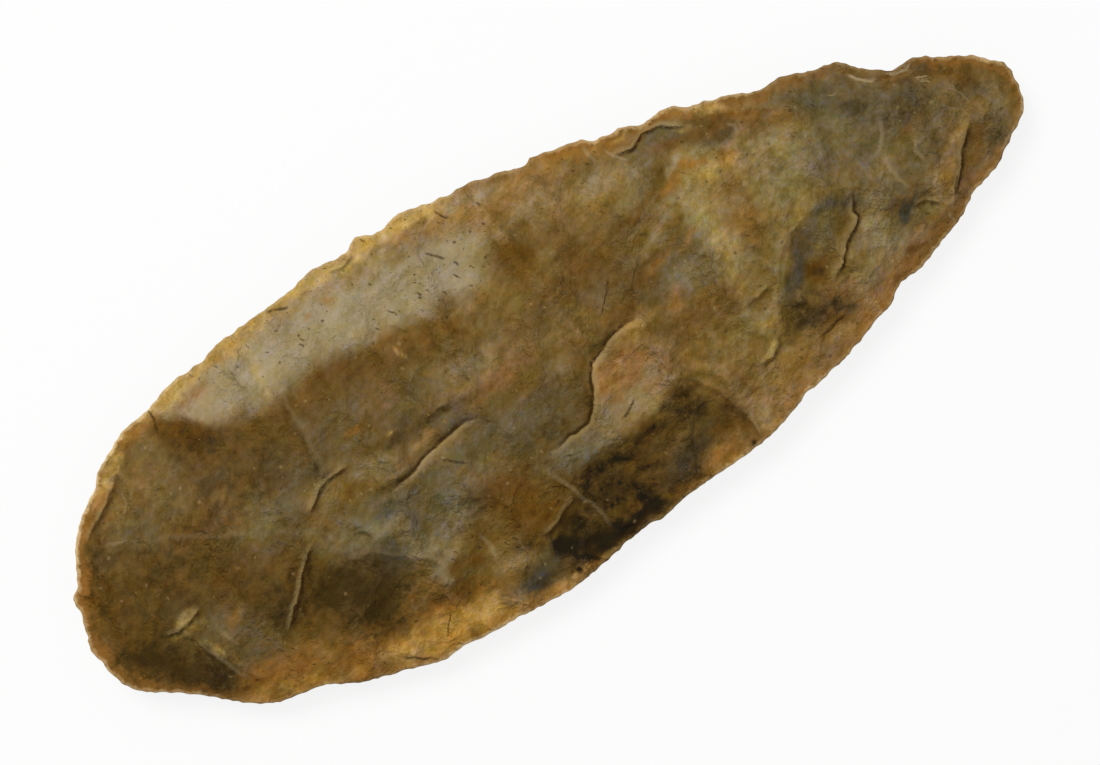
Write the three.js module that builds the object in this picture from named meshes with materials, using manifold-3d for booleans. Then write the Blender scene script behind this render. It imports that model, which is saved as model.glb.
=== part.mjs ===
// A leaf-shaped chert blade, knapped on both faces from one piece of stone.
// It lies flat: +X runs from the rounded base to the tip, +Y across the face, +Z is up.
// The origin is under the middle of its length and width, on the plane that it rests on.
// Lengths are in millimetres, angles in degrees.
import * as THREE from 'three';
import { mergeVertices } from 'three/addons/utils/BufferGeometryUtils.js';
import Module from 'manifold-3d';

const wasm = await Module();
wasm.setup();

// Driving dimensions of the whole blade
const bladeLength = 150;
const bladeWidth = 57;
// Rise of the upper face and drop of the underside, each measured from the rim
const faceCrown = 6.2;
const backCrown = 5;
// Thickness of the rim before the last retouch, and how far it sways up and down along the edge
const rimThickness = 0.9;
const rimSway = 0.5;
// How deep in the underside the flat remnant of the first struck flake lies, on which the blade rests
const restDepth = 0.5;

// A full-size thinning flake: how far it ran past its deepest point, how wide and how deep it is
const flakeRun = 20;
const flakeSpread = 16;
const flakeDepth = 1;

// A full-size retouch chip, pressed off the edge: how far in it runs, its width along the edge, its depth
const chipRun = 4.6;
const chipSpread = 5.5;
const chipDepth = 0.8;

// How far a cutting body reaches past what it cuts
const overrun = 6;

// Shape of the body between its spine and its rim
const crownPower = 2.1;
const endThinningShare = 0.3;
const leftStoneShare = 0.25;
const thickestPlaceShare = -0.15;
const spineShares = [[-0.6, -0.02], [0.58, -0.05]];
// Waves of the rim seen from the side: how many go round, their phase in degrees, their height
const swayShares = [[4, 20, 0.5], [7, 130, 0.3], [12, 260, 0.2]];
const swayPower = 3;

// Fineness: points in each span of the outline, cells along and across the body, spokes of a scar
const pointsPerSpan = 2;
const bodyCells = [20, 8];
const largeScarSpokes = 12;
const smallScarSpokes = 8;
const smallScarShare = 0.3;
// The body swells toward a calmer line than the bitten edge: through every fourth point of it
const calmEvery = 4;

// The outline, seen from above: from the base along the +Y edge to the tip, and back along the -Y
// edge. Shares of the half length and the half width.
const outlineShares = [
  [-0.996, -0.067], [-0.985, 0.042], [-0.977, 0.130], [-0.977, 0.196], [-0.957, 0.239], [-0.931, 0.375],
  [-0.893, 0.498], [-0.859, 0.565], [-0.833, 0.607], [-0.819, 0.656], [-0.773, 0.726], [-0.737, 0.772],
  [-0.684, 0.793], [-0.639, 0.835], [-0.596, 0.860], [-0.547, 0.867], [-0.500, 0.902], [-0.421, 0.916],
  [-0.348, 0.933], [-0.288, 0.968], [-0.244, 0.954], [-0.213, 0.961], [-0.188, 0.996], [-0.159, 0.961],
  [-0.131, 0.965], [-0.101, 0.986], [-0.064, 0.968], [0.000, 0.944], [0.048, 0.937], [0.073, 0.912],
  [0.096, 0.912], [0.141, 0.870], [0.160, 0.891], [0.208, 0.863], [0.259, 0.839], [0.279, 0.804],
  [0.328, 0.793], [0.376, 0.751], [0.408, 0.761], [0.432, 0.754], [0.461, 0.705], [0.488, 0.695],
  [0.548, 0.639], [0.587, 0.596], [0.629, 0.604], [0.685, 0.551], [0.736, 0.523], [0.763, 0.442],
  [0.791, 0.396], [0.809, 0.351], [0.853, 0.354], [0.879, 0.330], [0.888, 0.305], [0.957, 0.211],
  [0.977, 0.147], [0.999, 0.102], [1.000, -0.014], [0.993, -0.095], [0.977, -0.161], [0.945, -0.214],
  [0.920, -0.260], [0.884, -0.316], [0.824, -0.365], [0.797, -0.418], [0.741, -0.474], [0.669, -0.547],
  [0.625, -0.554], [0.591, -0.621], [0.560, -0.639], [0.505, -0.698], [0.448, -0.740], [0.373, -0.782],
  [0.315, -0.835], [0.253, -0.874], [0.152, -0.891], [0.075, -0.909], [0.029, -0.937], [-0.011, -0.930],
  [-0.077, -0.965], [-0.183, -1.004], [-0.292, -0.989], [-0.371, -0.982], [-0.400, -0.968], [-0.445, -0.982],
  [-0.487, -0.951], [-0.532, -0.919], [-0.619, -0.849], [-0.657, -0.786], [-0.748, -0.744], [-0.805, -0.656],
  [-0.856, -0.537], [-0.909, -0.435], [-0.959, -0.344], [-0.985, -0.225], [-0.988, -0.140],
];

// How a flake came away at its far end: thinning out, or snapping off in a step
const feather = 0;
const step = 1;

// Scars of the upper face: large old ones, later thinning flakes, then short ones along the edge.
// Each row: the deepest point as shares of the half length and half width, the way the flake ran
// (degrees from +X), its run, spread and depth as shares of a full-size flake, and its end.
const faceScarShares = [
  [-0.693, -0.070, 8, 0.85, 0.94, 0.75, feather],
  [-0.480, 0.140, -68, 0.65, 1.19, 0.80, feather],
  [0.293, 0.035, -82, 0.85, 1.88, 0.75, feather],
  [-0.187, -0.105, 95, 0.70, 1.75, 0.75, feather],
  [0.640, 0.035, 176, 0.75, 0.69, 0.80, feather],
  [0.120, -0.246, 64, 0.60, 1.06, 0.80, feather],
  [-0.813, 0.386, -42, 0.65, 1.06, 0.95, feather],
  [-0.720, 0.526, -68, 0.65, 0.75, 0.85, feather],
  [-0.573, 0.526, -83, 0.85, 1.03, 1.00, feather],
  [-0.327, 0.526, -78, 0.90, 1.56, 1.05, step],
  [-0.045, 0.351, -87, 1.07, 1.03, 1.10, step],
  [0.113, 0.421, -80, 0.72, 0.75, 1.00, step],
  [0.200, 0.596, -70, 0.40, 0.94, 0.85, feather],
  [0.380, 0.456, -106, 0.75, 1.00, 0.90, feather],
  [0.367, 0.660, -92, 0.16, 0.62, 0.95, step],
  [0.560, 0.351, -110, 0.65, 0.84, 0.95, feather],
  [0.693, 0.298, -115, 0.53, 0.75, 0.95, feather],
  [0.827, 0.158, -118, 0.35, 0.59, 0.80, feather],
  [0.927, 0.088, -150, 0.30, 0.44, 0.60, feather],
  [0.773, 0.386, -115, 0.12, 0.38, 1.10, step],
  [0.831, 0.302, -100, 0.10, 0.31, 0.80, step],
  [0.933, -0.123, 125, 0.25, 0.41, 0.60, feather],
  [0.847, -0.228, 68, 0.28, 0.44, 0.95, feather],
  [0.787, -0.228, 82, 0.24, 0.34, 0.85, feather],
  [0.727, -0.211, 95, 0.33, 0.47, 0.80, feather],
  [0.667, -0.316, 114, 0.45, 0.81, 1.00, step],
  [0.493, -0.281, 48, 0.47, 0.56, 1.05, step],
  [0.493, -0.491, 88, 0.45, 0.94, 0.90, feather],
  [0.333, -0.561, 98, 0.65, 0.78, 0.90, feather],
  [0.160, -0.632, 94, 0.38, 0.94, 1.20, step],
  [0.027, -0.702, 86, 0.33, 1.00, 1.15, step],
  [-0.100, -0.789, 78, 0.24, 0.50, 1.50, step],
  [-0.267, -0.632, 84, 0.70, 1.25, 0.95, feather],
  [-0.507, -0.491, 116, 0.57, 1.00, 1.15, step],
  [-0.680, -0.491, 76, 0.55, 0.94, 0.95, feather],
  [-0.867, -0.316, 38, 0.50, 0.81, 1.00, feather],
  [-0.920, 0.035, 10, 0.45, 0.69, 0.85, feather],
  [-0.833, 0.526, -52, 0.20, 0.53, 0.85, step],
  [-0.947, 0.263, -30, 0.17, 0.38, 0.70, feather],
  [-0.453, 0.789, -94, 0.25, 0.44, 0.80, feather],
  [-0.233, 0.853, -86, 0.20, 0.38, 0.80, step],
  [-0.084, 0.835, -97, 0.25, 0.44, 0.80, feather],
  [0.160, 0.754, -82, 0.23, 0.41, 0.75, feather],
  [0.487, 0.579, -110, 0.23, 0.41, 0.80, feather],
  [0.627, 0.491, -104, 0.20, 0.38, 0.75, feather],
  [-0.933, -0.281, 40, 0.20, 0.41, 0.75, feather],
  [-0.780, -0.614, 62, 0.20, 0.44, 0.80, feather],
  [-0.600, -0.737, 72, 0.23, 0.47, 0.80, feather],
  [-0.413, -0.842, 88, 0.20, 0.50, 0.85, feather],
  [0.267, -0.754, 98, 0.20, 0.38, 0.75, feather],
  [0.413, -0.660, 92, 0.20, 0.41, 0.75, feather],
  [0.573, -0.509, 108, 0.20, 0.44, 0.80, feather],
];

// Scars of the underside, in the same form
const backScarShares = [
  [-0.587, 0.035, 10, 0.75, 1.06, 0.75, feather],
  [0.453, 0.140, -62, 0.65, 1.38, 0.75, feather],
  [0.320, -0.140, 84, 0.80, 1.25, 0.75, feather],
  [-0.360, 0.211, -74, 0.50, 1.25, 0.75, feather],
  [-0.880, 0.281, -38, 0.60, 0.88, 0.90, feather],
  [-0.693, 0.491, -70, 0.65, 1.00, 0.90, feather],
  [-0.507, 0.596, -100, 0.80, 0.94, 0.95, feather],
  [-0.320, 0.632, -82, 0.65, 0.94, 0.95, step],
  [-0.133, 0.632, -97, 0.65, 1.00, 0.90, feather],
  [0.080, 0.596, -82, 0.62, 0.94, 1.00, feather],
  [0.267, 0.491, -102, 0.75, 0.94, 0.90, feather],
  [0.467, 0.386, -86, 0.65, 0.94, 0.90, feather],
  [0.640, 0.281, -112, 0.60, 0.81, 0.85, feather],
  [0.800, 0.140, -128, 0.40, 0.62, 0.75, feather],
  [0.920, 0.018, 170, 0.30, 0.50, 0.60, feather],
  [0.853, -0.140, 116, 0.40, 0.62, 0.80, feather],
  [0.707, -0.281, 102, 0.50, 0.75, 0.85, feather],
  [0.533, -0.386, 82, 0.60, 0.88, 0.90, step],
  [0.347, -0.491, 97, 0.65, 0.94, 0.90, feather],
  [0.147, -0.596, 82, 0.60, 1.00, 0.95, feather],
  [-0.067, -0.632, 95, 0.60, 1.00, 1.00, feather],
  [-0.280, -0.632, 102, 0.60, 0.94, 0.90, feather],
  [-0.480, -0.596, 78, 0.70, 1.00, 0.95, feather],
  [-0.680, -0.456, 70, 0.60, 0.94, 0.90, feather],
  [-0.867, -0.246, 34, 0.60, 0.81, 0.90, feather],
  [-0.933, 0.035, 3, 0.50, 0.62, 0.70, feather],
  [-0.800, 0.526, -55, 0.20, 0.44, 0.80, feather],
  [-0.600, 0.719, -84, 0.23, 0.44, 0.80, step],
  [-0.213, 0.842, -93, 0.20, 0.44, 0.80, feather],
  [0.173, 0.747, -96, 0.23, 0.44, 0.80, feather],
  [0.560, 0.474, -108, 0.20, 0.41, 0.75, feather],
  [0.733, 0.333, -118, 0.17, 0.38, 0.70, feather],
  [0.773, -0.316, 110, 0.17, 0.38, 0.70, feather],
  [0.440, -0.614, 90, 0.20, 0.44, 0.80, step],
  [0.027, -0.807, 86, 0.23, 0.47, 0.80, feather],
  [-0.173, -0.860, 92, 0.20, 0.44, 0.80, feather],
  [-0.573, -0.737, 80, 0.23, 0.44, 0.80, feather],
  [-0.800, -0.509, 55, 0.20, 0.44, 0.80, feather],
];

// Profile of a scar: rings from its deepest point outward, where 1 is its border
const featherRingShares = [0.55, 1, 1.16];
const stepRingShares = [0.55, 0.93, 1, 1.06];
// How much of its depth a stepped scar loses before its step, and where the step starts
const stepBowlShare = 0.35;
const stepFootShare = 0.93;
// How square a scar's plan is, and how quickly a step gives way to the soft flanks beside it
const planPower = 2.5;
const stepFadeShare = 0.5;
// Where the outline crosses a scar, counted from its deepest point to its border
const rimCrossingShare = 0.93;

// Rows of a chip from outside the edge inward: shares of its run, and of its depth in the middle of
// the chip and on the ridge to the next one
const chipRowShares = [
  [-0.5, -0.1, -0.1],
  [0.35, 1, 0.3],
  [0.95, 0.1, -0.05],
  [1.2, -0.35, -0.35],
];
// Where in a chip's width its middle lies, how far in the ridge beside it runs, and the least chip
const chipMiddleShare = 0.55;
const ridgeRunShare = 0.72;
const leastChipShare = 0.6;

// Numbers that scatter a running count evenly
const scatterStride = 12.9898;
const scatterSeedStride = 78.233;
const scatterStretch = 43758.5453;

const halfLength = bladeLength / 2;
const halfWidth = bladeWidth / 2;
const clearHeight = faceCrown + backCrown + rimThickness + overrun;
const up = 1;
const down = -1;

// The closed curve through a list of share points, as plan points that fill the blade's length and
// width exactly
function sampleOutline(sharePoints) {
  const knots = sharePoints.map(([u, v]) => new THREE.Vector3(u * halfLength, v * halfWidth, 0));
  const curve = new THREE.CatmullRomCurve3(knots, true, 'centripetal');
  const count = knots.length * pointsPerSpan;
  const points = [];
  for (let i = 0; i < count; i += 1) {
    const { x, y } = curve.getPoint(i / count);
    points.push(new THREE.Vector2(x, y));
  }
  const box = new THREE.Box2().setFromPoints(points);
  const middle = box.getCenter(new THREE.Vector2());
  const fit = new THREE.Vector2(bladeLength, bladeWidth).divide(box.getSize(new THREE.Vector2()));
  return points.map((point) => point.sub(middle).multiply(fit));
}

const outline = sampleOutline(outlineShares);
const calmOutline = sampleOutline(outlineShares.filter((_, i) => i % calmEvery === 0));
const spine = spineShares.map(([u, v]) => new THREE.Vector2(u * halfLength, v * halfWidth));

// Distance from a point to the far side of a closed line, measured along a direction
function distanceToLine(from, direction, line) {
  let farthest = 0;
  line.forEach((start, i) => {
    const side = line[(i + 1) % line.length].clone().sub(start);
    const across = direction.cross(side);
    const gap = start.clone().sub(from);
    const alongRay = gap.cross(side) / across;
    const alongSide = gap.cross(direction) / across;
    if (alongSide >= 0 && alongSide <= 1 && alongRay > farthest) {
      farthest = alongRay;
    }
  });
  return farthest;
}

// The point of the spine nearest to a plan point
function footOnSpine(point) {
  const run = spine[1].clone().sub(spine[0]);
  const along = point.clone().sub(spine[0]).dot(run) / run.lengthSq();
  return spine[0].clone().addScaledVector(run, THREE.MathUtils.clamp(along, 0, 1));
}

// How far out a plan point lies: 0 on the spine, 1 on the calm outline and beyond
function outwardShare(x, y) {
  const point = new THREE.Vector2(x, y);
  const foot = footOnSpine(point);
  const offset = point.sub(foot);
  const distance = offset.length();
  if (distance === 0) {
    return 0;
  }
  return Math.min(1, distance / distanceToLine(foot, offset.divideScalar(distance), calmOutline));
}

// Height of the middle of the rim, which sways along the edge
function rimMiddle(x, y) {
  const u = x / halfLength;
  const v = y / halfWidth;
  const turn = Math.atan2(v, u);
  const nearRim = Math.min(1, Math.hypot(u, v)) ** swayPower;
  let sway = 0;
  swayShares.forEach(([waves, phase, share]) => {
    sway += share * Math.sin(waves * turn + THREE.MathUtils.degToRad(phase));
  });
  return rimSway * nearRim * sway;
}

// Height of the body over a plan point, on the upper face or the underside, where a flake of that
// depth has come off. However deep it went, a share of the stone between face and middle is left.
function surfaceHeight(facing, x, y, depth) {
  const crown = facing === up ? faceCrown : backCrown;
  const thinning = 1 - endThinningShare * (x / halfLength - thickestPlaceShare) ** 2;
  const swell = crown * thinning * (1 - outwardShare(x, y) ** crownPower);
  const unflaked = rimThickness / 2 + swell;
  return rimMiddle(x, y) + facing * Math.max(unflaked - depth, leftStoneShare * unflaked);
}

// A closed solid from plain lists of corner positions and triangles
function solidFrom(positions, triangles) {
  return new wasm.Manifold(new wasm.Mesh({
    numProp: 3,
    vertProperties: new Float32Array(positions),
    triVerts: new Uint32Array(triangles),
  }));
}

// A closed solid from a three.js geometry
function solidFromGeometry(geometry) {
  const bare = geometry.clone();
  bare.deleteAttribute('normal');
  bare.deleteAttribute('uv');
  const merged = mergeVertices(bare);
  return solidFrom(merged.attributes.position.array, merged.index.array);
}

// The lens of the unflaked body over a grid that reaches past the outline
function makeBody() {
  const [columns, rows] = bodyCells;
  const positions = [];
  [up, down].forEach((facing) => {
    for (let i = 0; i <= columns; i += 1) {
      for (let j = 0; j <= rows; j += 1) {
        const x = (halfLength + overrun) * (2 * i / columns - 1);
        const y = (halfWidth + overrun) * (2 * j / rows - 1);
        positions.push(x, y, surfaceHeight(facing, x, y, 0));
      }
    }
  });
  const layer = (columns + 1) * (rows + 1);
  const corner = (i, j) => i * (rows + 1) + j;
  const triangles = [];
  const addQuad = (a, b, c, d) => triangles.push(a, b, c, a, c, d);
  // A side wall from one corner of the grid to the next, between the two layers
  const addWall = (a, b) => addQuad(layer + a, layer + b, b, a);
  for (let i = 0; i < columns; i += 1) {
    for (let j = 0; j < rows; j += 1) {
      const [a, b, c, d] = [corner(i, j), corner(i + 1, j), corner(i + 1, j + 1), corner(i, j + 1)];
      addQuad(a, b, c, d);
      addQuad(layer + a, layer + d, layer + c, layer + b);
    }
    addWall(corner(i, 0), corner(i + 1, 0));
    addWall(corner(i + 1, rows), corner(i, rows));
  }
  for (let j = 0; j < rows; j += 1) {
    addWall(corner(0, j + 1), corner(0, j));
    addWall(corner(columns, j), corner(columns, j + 1));
  }
  return solidFrom(positions, triangles);
}

// The upright prism over the outline, which gives the blade its edge
function makeOutlinePrism() {
  const geometry = new THREE.ExtrudeGeometry(new THREE.Shape(outline), {
    depth: 2 * clearHeight,
    bevelEnabled: false,
  });
  geometry.translate(0, 0, -clearHeight);
  return solidFromGeometry(geometry);
}

// Share of a scar's depth at a ring. Ahead says how squarely that spoke faces the far end.
function scarDepthShare(ring, ahead, end) {
  const dish = 1 - ring * ring;
  if (end === feather) {
    return dish;
  }
  const bowl = 1 - stepBowlShare * Math.min(ring, stepFootShare) ** 2;
  const riser = Math.min(1, (1 - ring) / (1 - stepFootShare));
  return THREE.MathUtils.lerp(dish, bowl * riser, ahead);
}

// The stone that one flake took with it: a closed body with the scar as its dished inner side.
// Back is how far it reaches behind its deepest point.
function flakeBody(facing, { x, y, aim, run, back, spread, depth, end, spokes }) {
  const rings = end === step ? stepRingShares : featherRingShares;
  // A length drawn out along a rounded square instead of a circle
  const squared = (length, turned) => length * Math.sign(turned) * Math.abs(turned) ** (2 / planPower);
  const plan = (ring, spoke) => {
    const turn = Math.PI * (2 * spoke + 1) / spokes;
    const forward = Math.cos(turn);
    const along = ring * squared(forward > 0 ? run : back, forward);
    const aside = ring * squared(spread / 2, Math.sin(turn));
    return {
      px: x + along * Math.cos(aim) - aside * Math.sin(aim),
      py: y + along * Math.sin(aim) + aside * Math.cos(aim),
      ahead: THREE.MathUtils.clamp(forward / stepFadeShare, 0, 1),
    };
  };
  const positions = [x, y, surfaceHeight(facing, x, y, depth)];
  rings.forEach((ring) => {
    for (let spoke = 0; spoke < spokes; spoke += 1) {
      const { px, py, ahead } = plan(ring, spoke);
      positions.push(px, py, surfaceHeight(facing, px, py, depth * scarDepthShare(ring, ahead, end)));
    }
  });
  for (let spoke = 0; spoke < spokes; spoke += 1) {
    const { px, py } = plan(rings.at(-1), spoke);
    positions.push(px, py, facing * clearHeight);
  }
  const lidMiddle = positions.length / 3;
  positions.push(x, y, facing * clearHeight);

  const triangles = [];
  const addTriangle = (a, b, c) => triangles.push(...(facing === up ? [a, c, b] : [a, b, c]));
  for (let spoke = 0; spoke < spokes; spoke += 1) {
    const next = (spoke + 1) % spokes;
    addTriangle(0, 1 + spoke, 1 + next);
    for (let ring = 0; ring < rings.length; ring += 1) {
      const inner = 1 + ring * spokes;
      const outer = inner + spokes;
      addTriangle(inner + spoke, outer + spoke, outer + next);
      addTriangle(inner + spoke, outer + next, inner + next);
    }
    const lid = 1 + rings.length * spokes;
    addTriangle(lidMiddle, lid + next, lid + spoke);
  }
  return solidFrom(positions, triangles);
}

// The body of one flake from its row of shares
function makeFlake(facing, [u, v, aimDegrees, runShare, spreadShare, depthShare, end]) {
  const place = new THREE.Vector2(u * halfLength, v * halfWidth);
  const aim = THREE.MathUtils.degToRad(aimDegrees);
  const backward = new THREE.Vector2(-Math.cos(aim), -Math.sin(aim));
  return flakeBody(facing, {
    x: place.x,
    y: place.y,
    aim,
    run: runShare * flakeRun,
    back: distanceToLine(place, backward, outline) / rimCrossingShare,
    spread: spreadShare * flakeSpread,
    depth: depthShare * flakeDepth,
    end,
    spokes: runShare > smallScarShare ? largeScarSpokes : smallScarSpokes,
  });
}

// An even scatter between 0 and 1 for a running number
function scatter(number, seed) {
  const value = Math.sin(number * scatterStride + seed * scatterSeedStride) * scatterStretch;
  return value - Math.floor(value);
}

// The sizes of the chips round one face, uneven, each a share of a full-size chip
function chipSizeShares(facing, wayRound) {
  const count = Math.round(wayRound / (chipSpread * (1 + leastChipShare) / 2));
  const sizes = [];
  for (let i = 0; i < count; i += 1) {
    sizes.push(THREE.MathUtils.lerp(leastChipShare, 1, scatter(i, facing)));
  }
  return sizes;
}

// All that was pressed off the edge of one face: a closed band whose floor dips once in each chip.
// Its columns run from the edge toward the spine, one on each ridge and one in each chip's middle.
function makeRetouch(facing) {
  const rim = new THREE.Path([...outline, outline[0]]);
  const sizes = chipSizeShares(facing, rim.getLength());
  const total = sizes.reduce((sum, size) => sum + size, 0);
  const columns = [];
  let covered = 0;
  sizes.forEach((size) => {
    columns.push({ along: covered / total, size, middle: false });
    columns.push({ along: (covered + chipMiddleShare * size) / total, size, middle: true });
    covered += size;
  });
  const positions = [];
  columns.forEach(({ along, size, middle }) => {
    const edge = rim.getPointAt(along);
    const inward = footOnSpine(edge).sub(edge).normalize();
    const run = size * chipRun * (middle ? 1 : ridgeRunShare);
    const plan = chipRowShares.map(([inShare]) => edge.clone().addScaledVector(inward, inShare * run));
    plan.forEach(({ x, y }, row) => {
      const depthShare = chipRowShares[row][middle ? 1 : 2];
      positions.push(x, y, surfaceHeight(facing, x, y, size * chipDepth * depthShare));
    });
    plan.toReversed().forEach(({ x, y }) => positions.push(x, y, facing * clearHeight));
  });
  const loop = 2 * chipRowShares.length;
  const triangles = [];
  const addTriangle = (a, b, c) => triangles.push(...(facing === up ? [a, b, c] : [a, c, b]));
  for (let column = 0; column < columns.length; column += 1) {
    const here = column * loop;
    const beyond = ((column + 1) % columns.length) * loop;
    for (let row = 0; row < loop; row += 1) {
      const next = (row + 1) % loop;
      addTriangle(here + row, beyond + row, beyond + next);
      addTriangle(here + row, beyond + next, here + next);
    }
  }
  return solidFrom(positions, triangles);
}

// All that lies below the flat remnant on which the blade rests
function makeRestCut() {
  const box = new THREE.BoxGeometry(bladeLength, bladeWidth, overrun);
  box.translate(0, 0, restDepth - backCrown - (rimThickness + overrun) / 2);
  return solidFromGeometry(box);
}

// The blade: the body inside its outline, less all that was flaked away, set down on its origin
function makeBlade() {
  const removed = [
    ...faceScarShares.map((row) => makeFlake(up, row)),
    ...backScarShares.map((row) => makeFlake(down, row)),
    makeRetouch(up),
    makeRetouch(down),
    makeRestCut(),
  ];
  let stone = makeBody().intersect(makeOutlinePrism());
  removed.forEach((waste) => {
    stone = stone.subtract(waste);
  });
  const mesh = stone.getMesh();
  const geometry = new THREE.BufferGeometry();
  geometry.setAttribute('position', new THREE.BufferAttribute(mesh.vertProperties, mesh.numProp));
  geometry.setIndex(new THREE.BufferAttribute(mesh.triVerts, 1));
  geometry.computeBoundingBox();
  const { min, max } = geometry.boundingBox;
  geometry.translate(-(min.x + max.x) / 2, -(min.y + max.y) / 2, -min.z);
  geometry.computeVertexNormals();
  return geometry;
}

const chert = new THREE.MeshStandardMaterial({ color: 0x7d6842, roughness: 0.5, metalness: 0 });
const blade = new THREE.Mesh(makeBlade(), chert);
blade.name = 'blade';

const part = new THREE.Group();
part.add(blade);

export default part;
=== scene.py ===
"""Dresses a leaf-shaped chert blade, knapped on both faces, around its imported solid.

The stone is one closed piece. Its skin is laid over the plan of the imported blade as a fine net:
the swollen body, less the scars of the flakes struck off it, with the steps and ledges that some
flakes left. The net carries the colours of the stone as masks, one for each mineral, and a node
material mixes, breaks up and speckles them.

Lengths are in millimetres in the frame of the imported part: +X runs to the tip, +Y across the
face and +Z is up. They become metres when a mesh is made.
"""

from __future__ import annotations

import logging
import math
from collections.abc import Iterable, Iterator, Sequence
from dataclasses import dataclass
from enum import Enum

import bpy
import numpy as np
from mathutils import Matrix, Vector

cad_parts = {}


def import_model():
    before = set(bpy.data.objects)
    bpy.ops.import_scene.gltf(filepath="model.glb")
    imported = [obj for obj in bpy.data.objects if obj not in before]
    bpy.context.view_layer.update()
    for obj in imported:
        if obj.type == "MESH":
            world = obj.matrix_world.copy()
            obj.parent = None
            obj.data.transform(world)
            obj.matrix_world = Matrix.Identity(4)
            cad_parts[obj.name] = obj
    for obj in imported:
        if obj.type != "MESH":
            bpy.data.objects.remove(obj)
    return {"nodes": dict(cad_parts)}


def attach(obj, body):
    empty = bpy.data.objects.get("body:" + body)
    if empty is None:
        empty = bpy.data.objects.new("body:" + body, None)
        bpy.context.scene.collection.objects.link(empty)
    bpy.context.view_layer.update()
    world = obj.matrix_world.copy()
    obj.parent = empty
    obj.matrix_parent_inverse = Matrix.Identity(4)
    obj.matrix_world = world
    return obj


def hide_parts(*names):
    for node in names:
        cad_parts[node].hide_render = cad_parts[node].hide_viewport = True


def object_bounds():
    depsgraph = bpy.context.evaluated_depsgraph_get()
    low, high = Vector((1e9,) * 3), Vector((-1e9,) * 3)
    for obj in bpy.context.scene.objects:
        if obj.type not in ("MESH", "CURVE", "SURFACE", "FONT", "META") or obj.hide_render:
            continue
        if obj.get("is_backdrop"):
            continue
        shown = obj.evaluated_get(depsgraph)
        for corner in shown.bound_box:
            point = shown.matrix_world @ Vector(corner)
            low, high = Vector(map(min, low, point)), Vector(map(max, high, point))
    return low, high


LOG = logging.getLogger("blade")

MM = 0.001

# Small values that keep a division away from 0
TINY = 1e-9
NEARLY_PARALLEL = 1e-12

Array = np.ndarray
Node = bpy.types.Node
Socket = bpy.types.NodeSocket
Tree = bpy.types.NodeTree
Point = tuple[float, float]
Pair = tuple[float, float]
Fade = tuple[float, float, float, float]
Colour = tuple[float, float, float]
Tint = tuple[float, float, float, float]
Row = tuple[float, ...]


def smoothstep(low: float, high: float, value: Array) -> Array:
    """Returns 0 below low, 1 above high and a smooth rise between them."""
    share = np.clip((value - low) / (high - low), 0.0, 1.0)
    return share * share * (3.0 - 2.0 * share)


def linear(colour: Colour) -> Tint:
    """Turns a screen colour, 0 to 255, into a linear one by the standard curve of screens.

    Args:
        colour: Red, green and blue as they look on a screen.

    Returns:
        Linear red, green and blue from 0 to 1, and an alpha of 1.
    """
    shares = (channel / 255.0 for channel in colour)
    red, green, blue = (
        share / 12.92 if share <= 0.04045 else ((share + 0.055) / 1.055) ** 2.4 for share in shares
    )
    return red, green, blue, 1.0


class Face(Enum):
    """The two broad faces of the blade."""

    UPPER = 1
    UNDER = -1


class End(Enum):
    """How a flake came away at its far end."""

    FEATHER = 0
    STEP = 1


class Mineral(Enum):
    """The colours that the stone holds, as they look on a screen, in the order they are laid on."""

    BROWN = (97, 72, 29)
    KHAKI = (130, 106, 66)
    PALE = (146, 132, 98)
    GREY = (102, 94, 78)
    TAN = (151, 121, 82)
    MILK = (154, 141, 125)
    ROSE = (142, 102, 70)
    OCHRE = (142, 103, 50)
    HONEY = (186, 148, 86)
    UMBER = (96, 65, 7)
    SLATE = (68, 64, 60)
    SHADE = (56, 42, 9)
    SOOT = (26, 19, 3)
    CREAM = (196, 168, 112)

    @property
    def mask_name(self) -> str:
        """The name of the mesh attribute that says where this mineral lies."""
        return f"stone_{self.name.lower()}"


@dataclass(frozen=True)
class Unevenness:
    """Smooth seeded heights over a plane, from -1 to 1, with finer ones laid over coarse ones."""

    seed: int
    size: float
    octaves: int = 1
    cells: int = 61

    def at(self, x: Array, y: Array) -> Array:
        """Returns the heights at plan points."""
        total = np.zeros_like(x)
        reach = 0.0
        for octave in range(self.octaves):
            share = 0.5**octave
            table = np.random.default_rng(self.seed + octave).uniform(-1, 1, (self.cells, self.cells))
            total += share * self._layer(table, x / (self.size * share), y / (self.size * share))
            reach += share
        return total / reach

    def _layer(self, table: Array, u: Array, v: Array) -> Array:
        """Returns one layer of the heights, blended between the corners of its cells."""
        column, row = np.floor(u).astype(int), np.floor(v).astype(int)
        across, down = u - column, v - row
        across = across * across * (3 - 2 * across)
        down = down * down * (3 - 2 * down)
        left, right = column % self.cells, (column + 1) % self.cells
        low, high = row % self.cells, (row + 1) % self.cells
        near = table[low, left] * (1 - across) + table[low, right] * across
        far = table[high, left] * (1 - across) + table[high, right] * across
        return near * (1 - down) + far * down


@dataclass(frozen=True)
class Warp:
    """A wandering shift of plan points, so that borders that are drawn smooth come out natural."""

    seed: int
    layers: tuple[tuple[float, float], ...]

    def move(self, x: Array, y: Array) -> tuple[Array, Array]:
        """Returns the shifted points. Each layer gives the size of its waves and their reach."""
        moved_x, moved_y = x.copy(), y.copy()
        for number, (size, reach) in enumerate(self.layers):
            moved_x += reach * Unevenness(self.seed + 10 * number, size).at(x, y)
            moved_y += reach * Unevenness(self.seed + 10 * number + 5, size).at(x, y)
        return moved_x, moved_y


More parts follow.
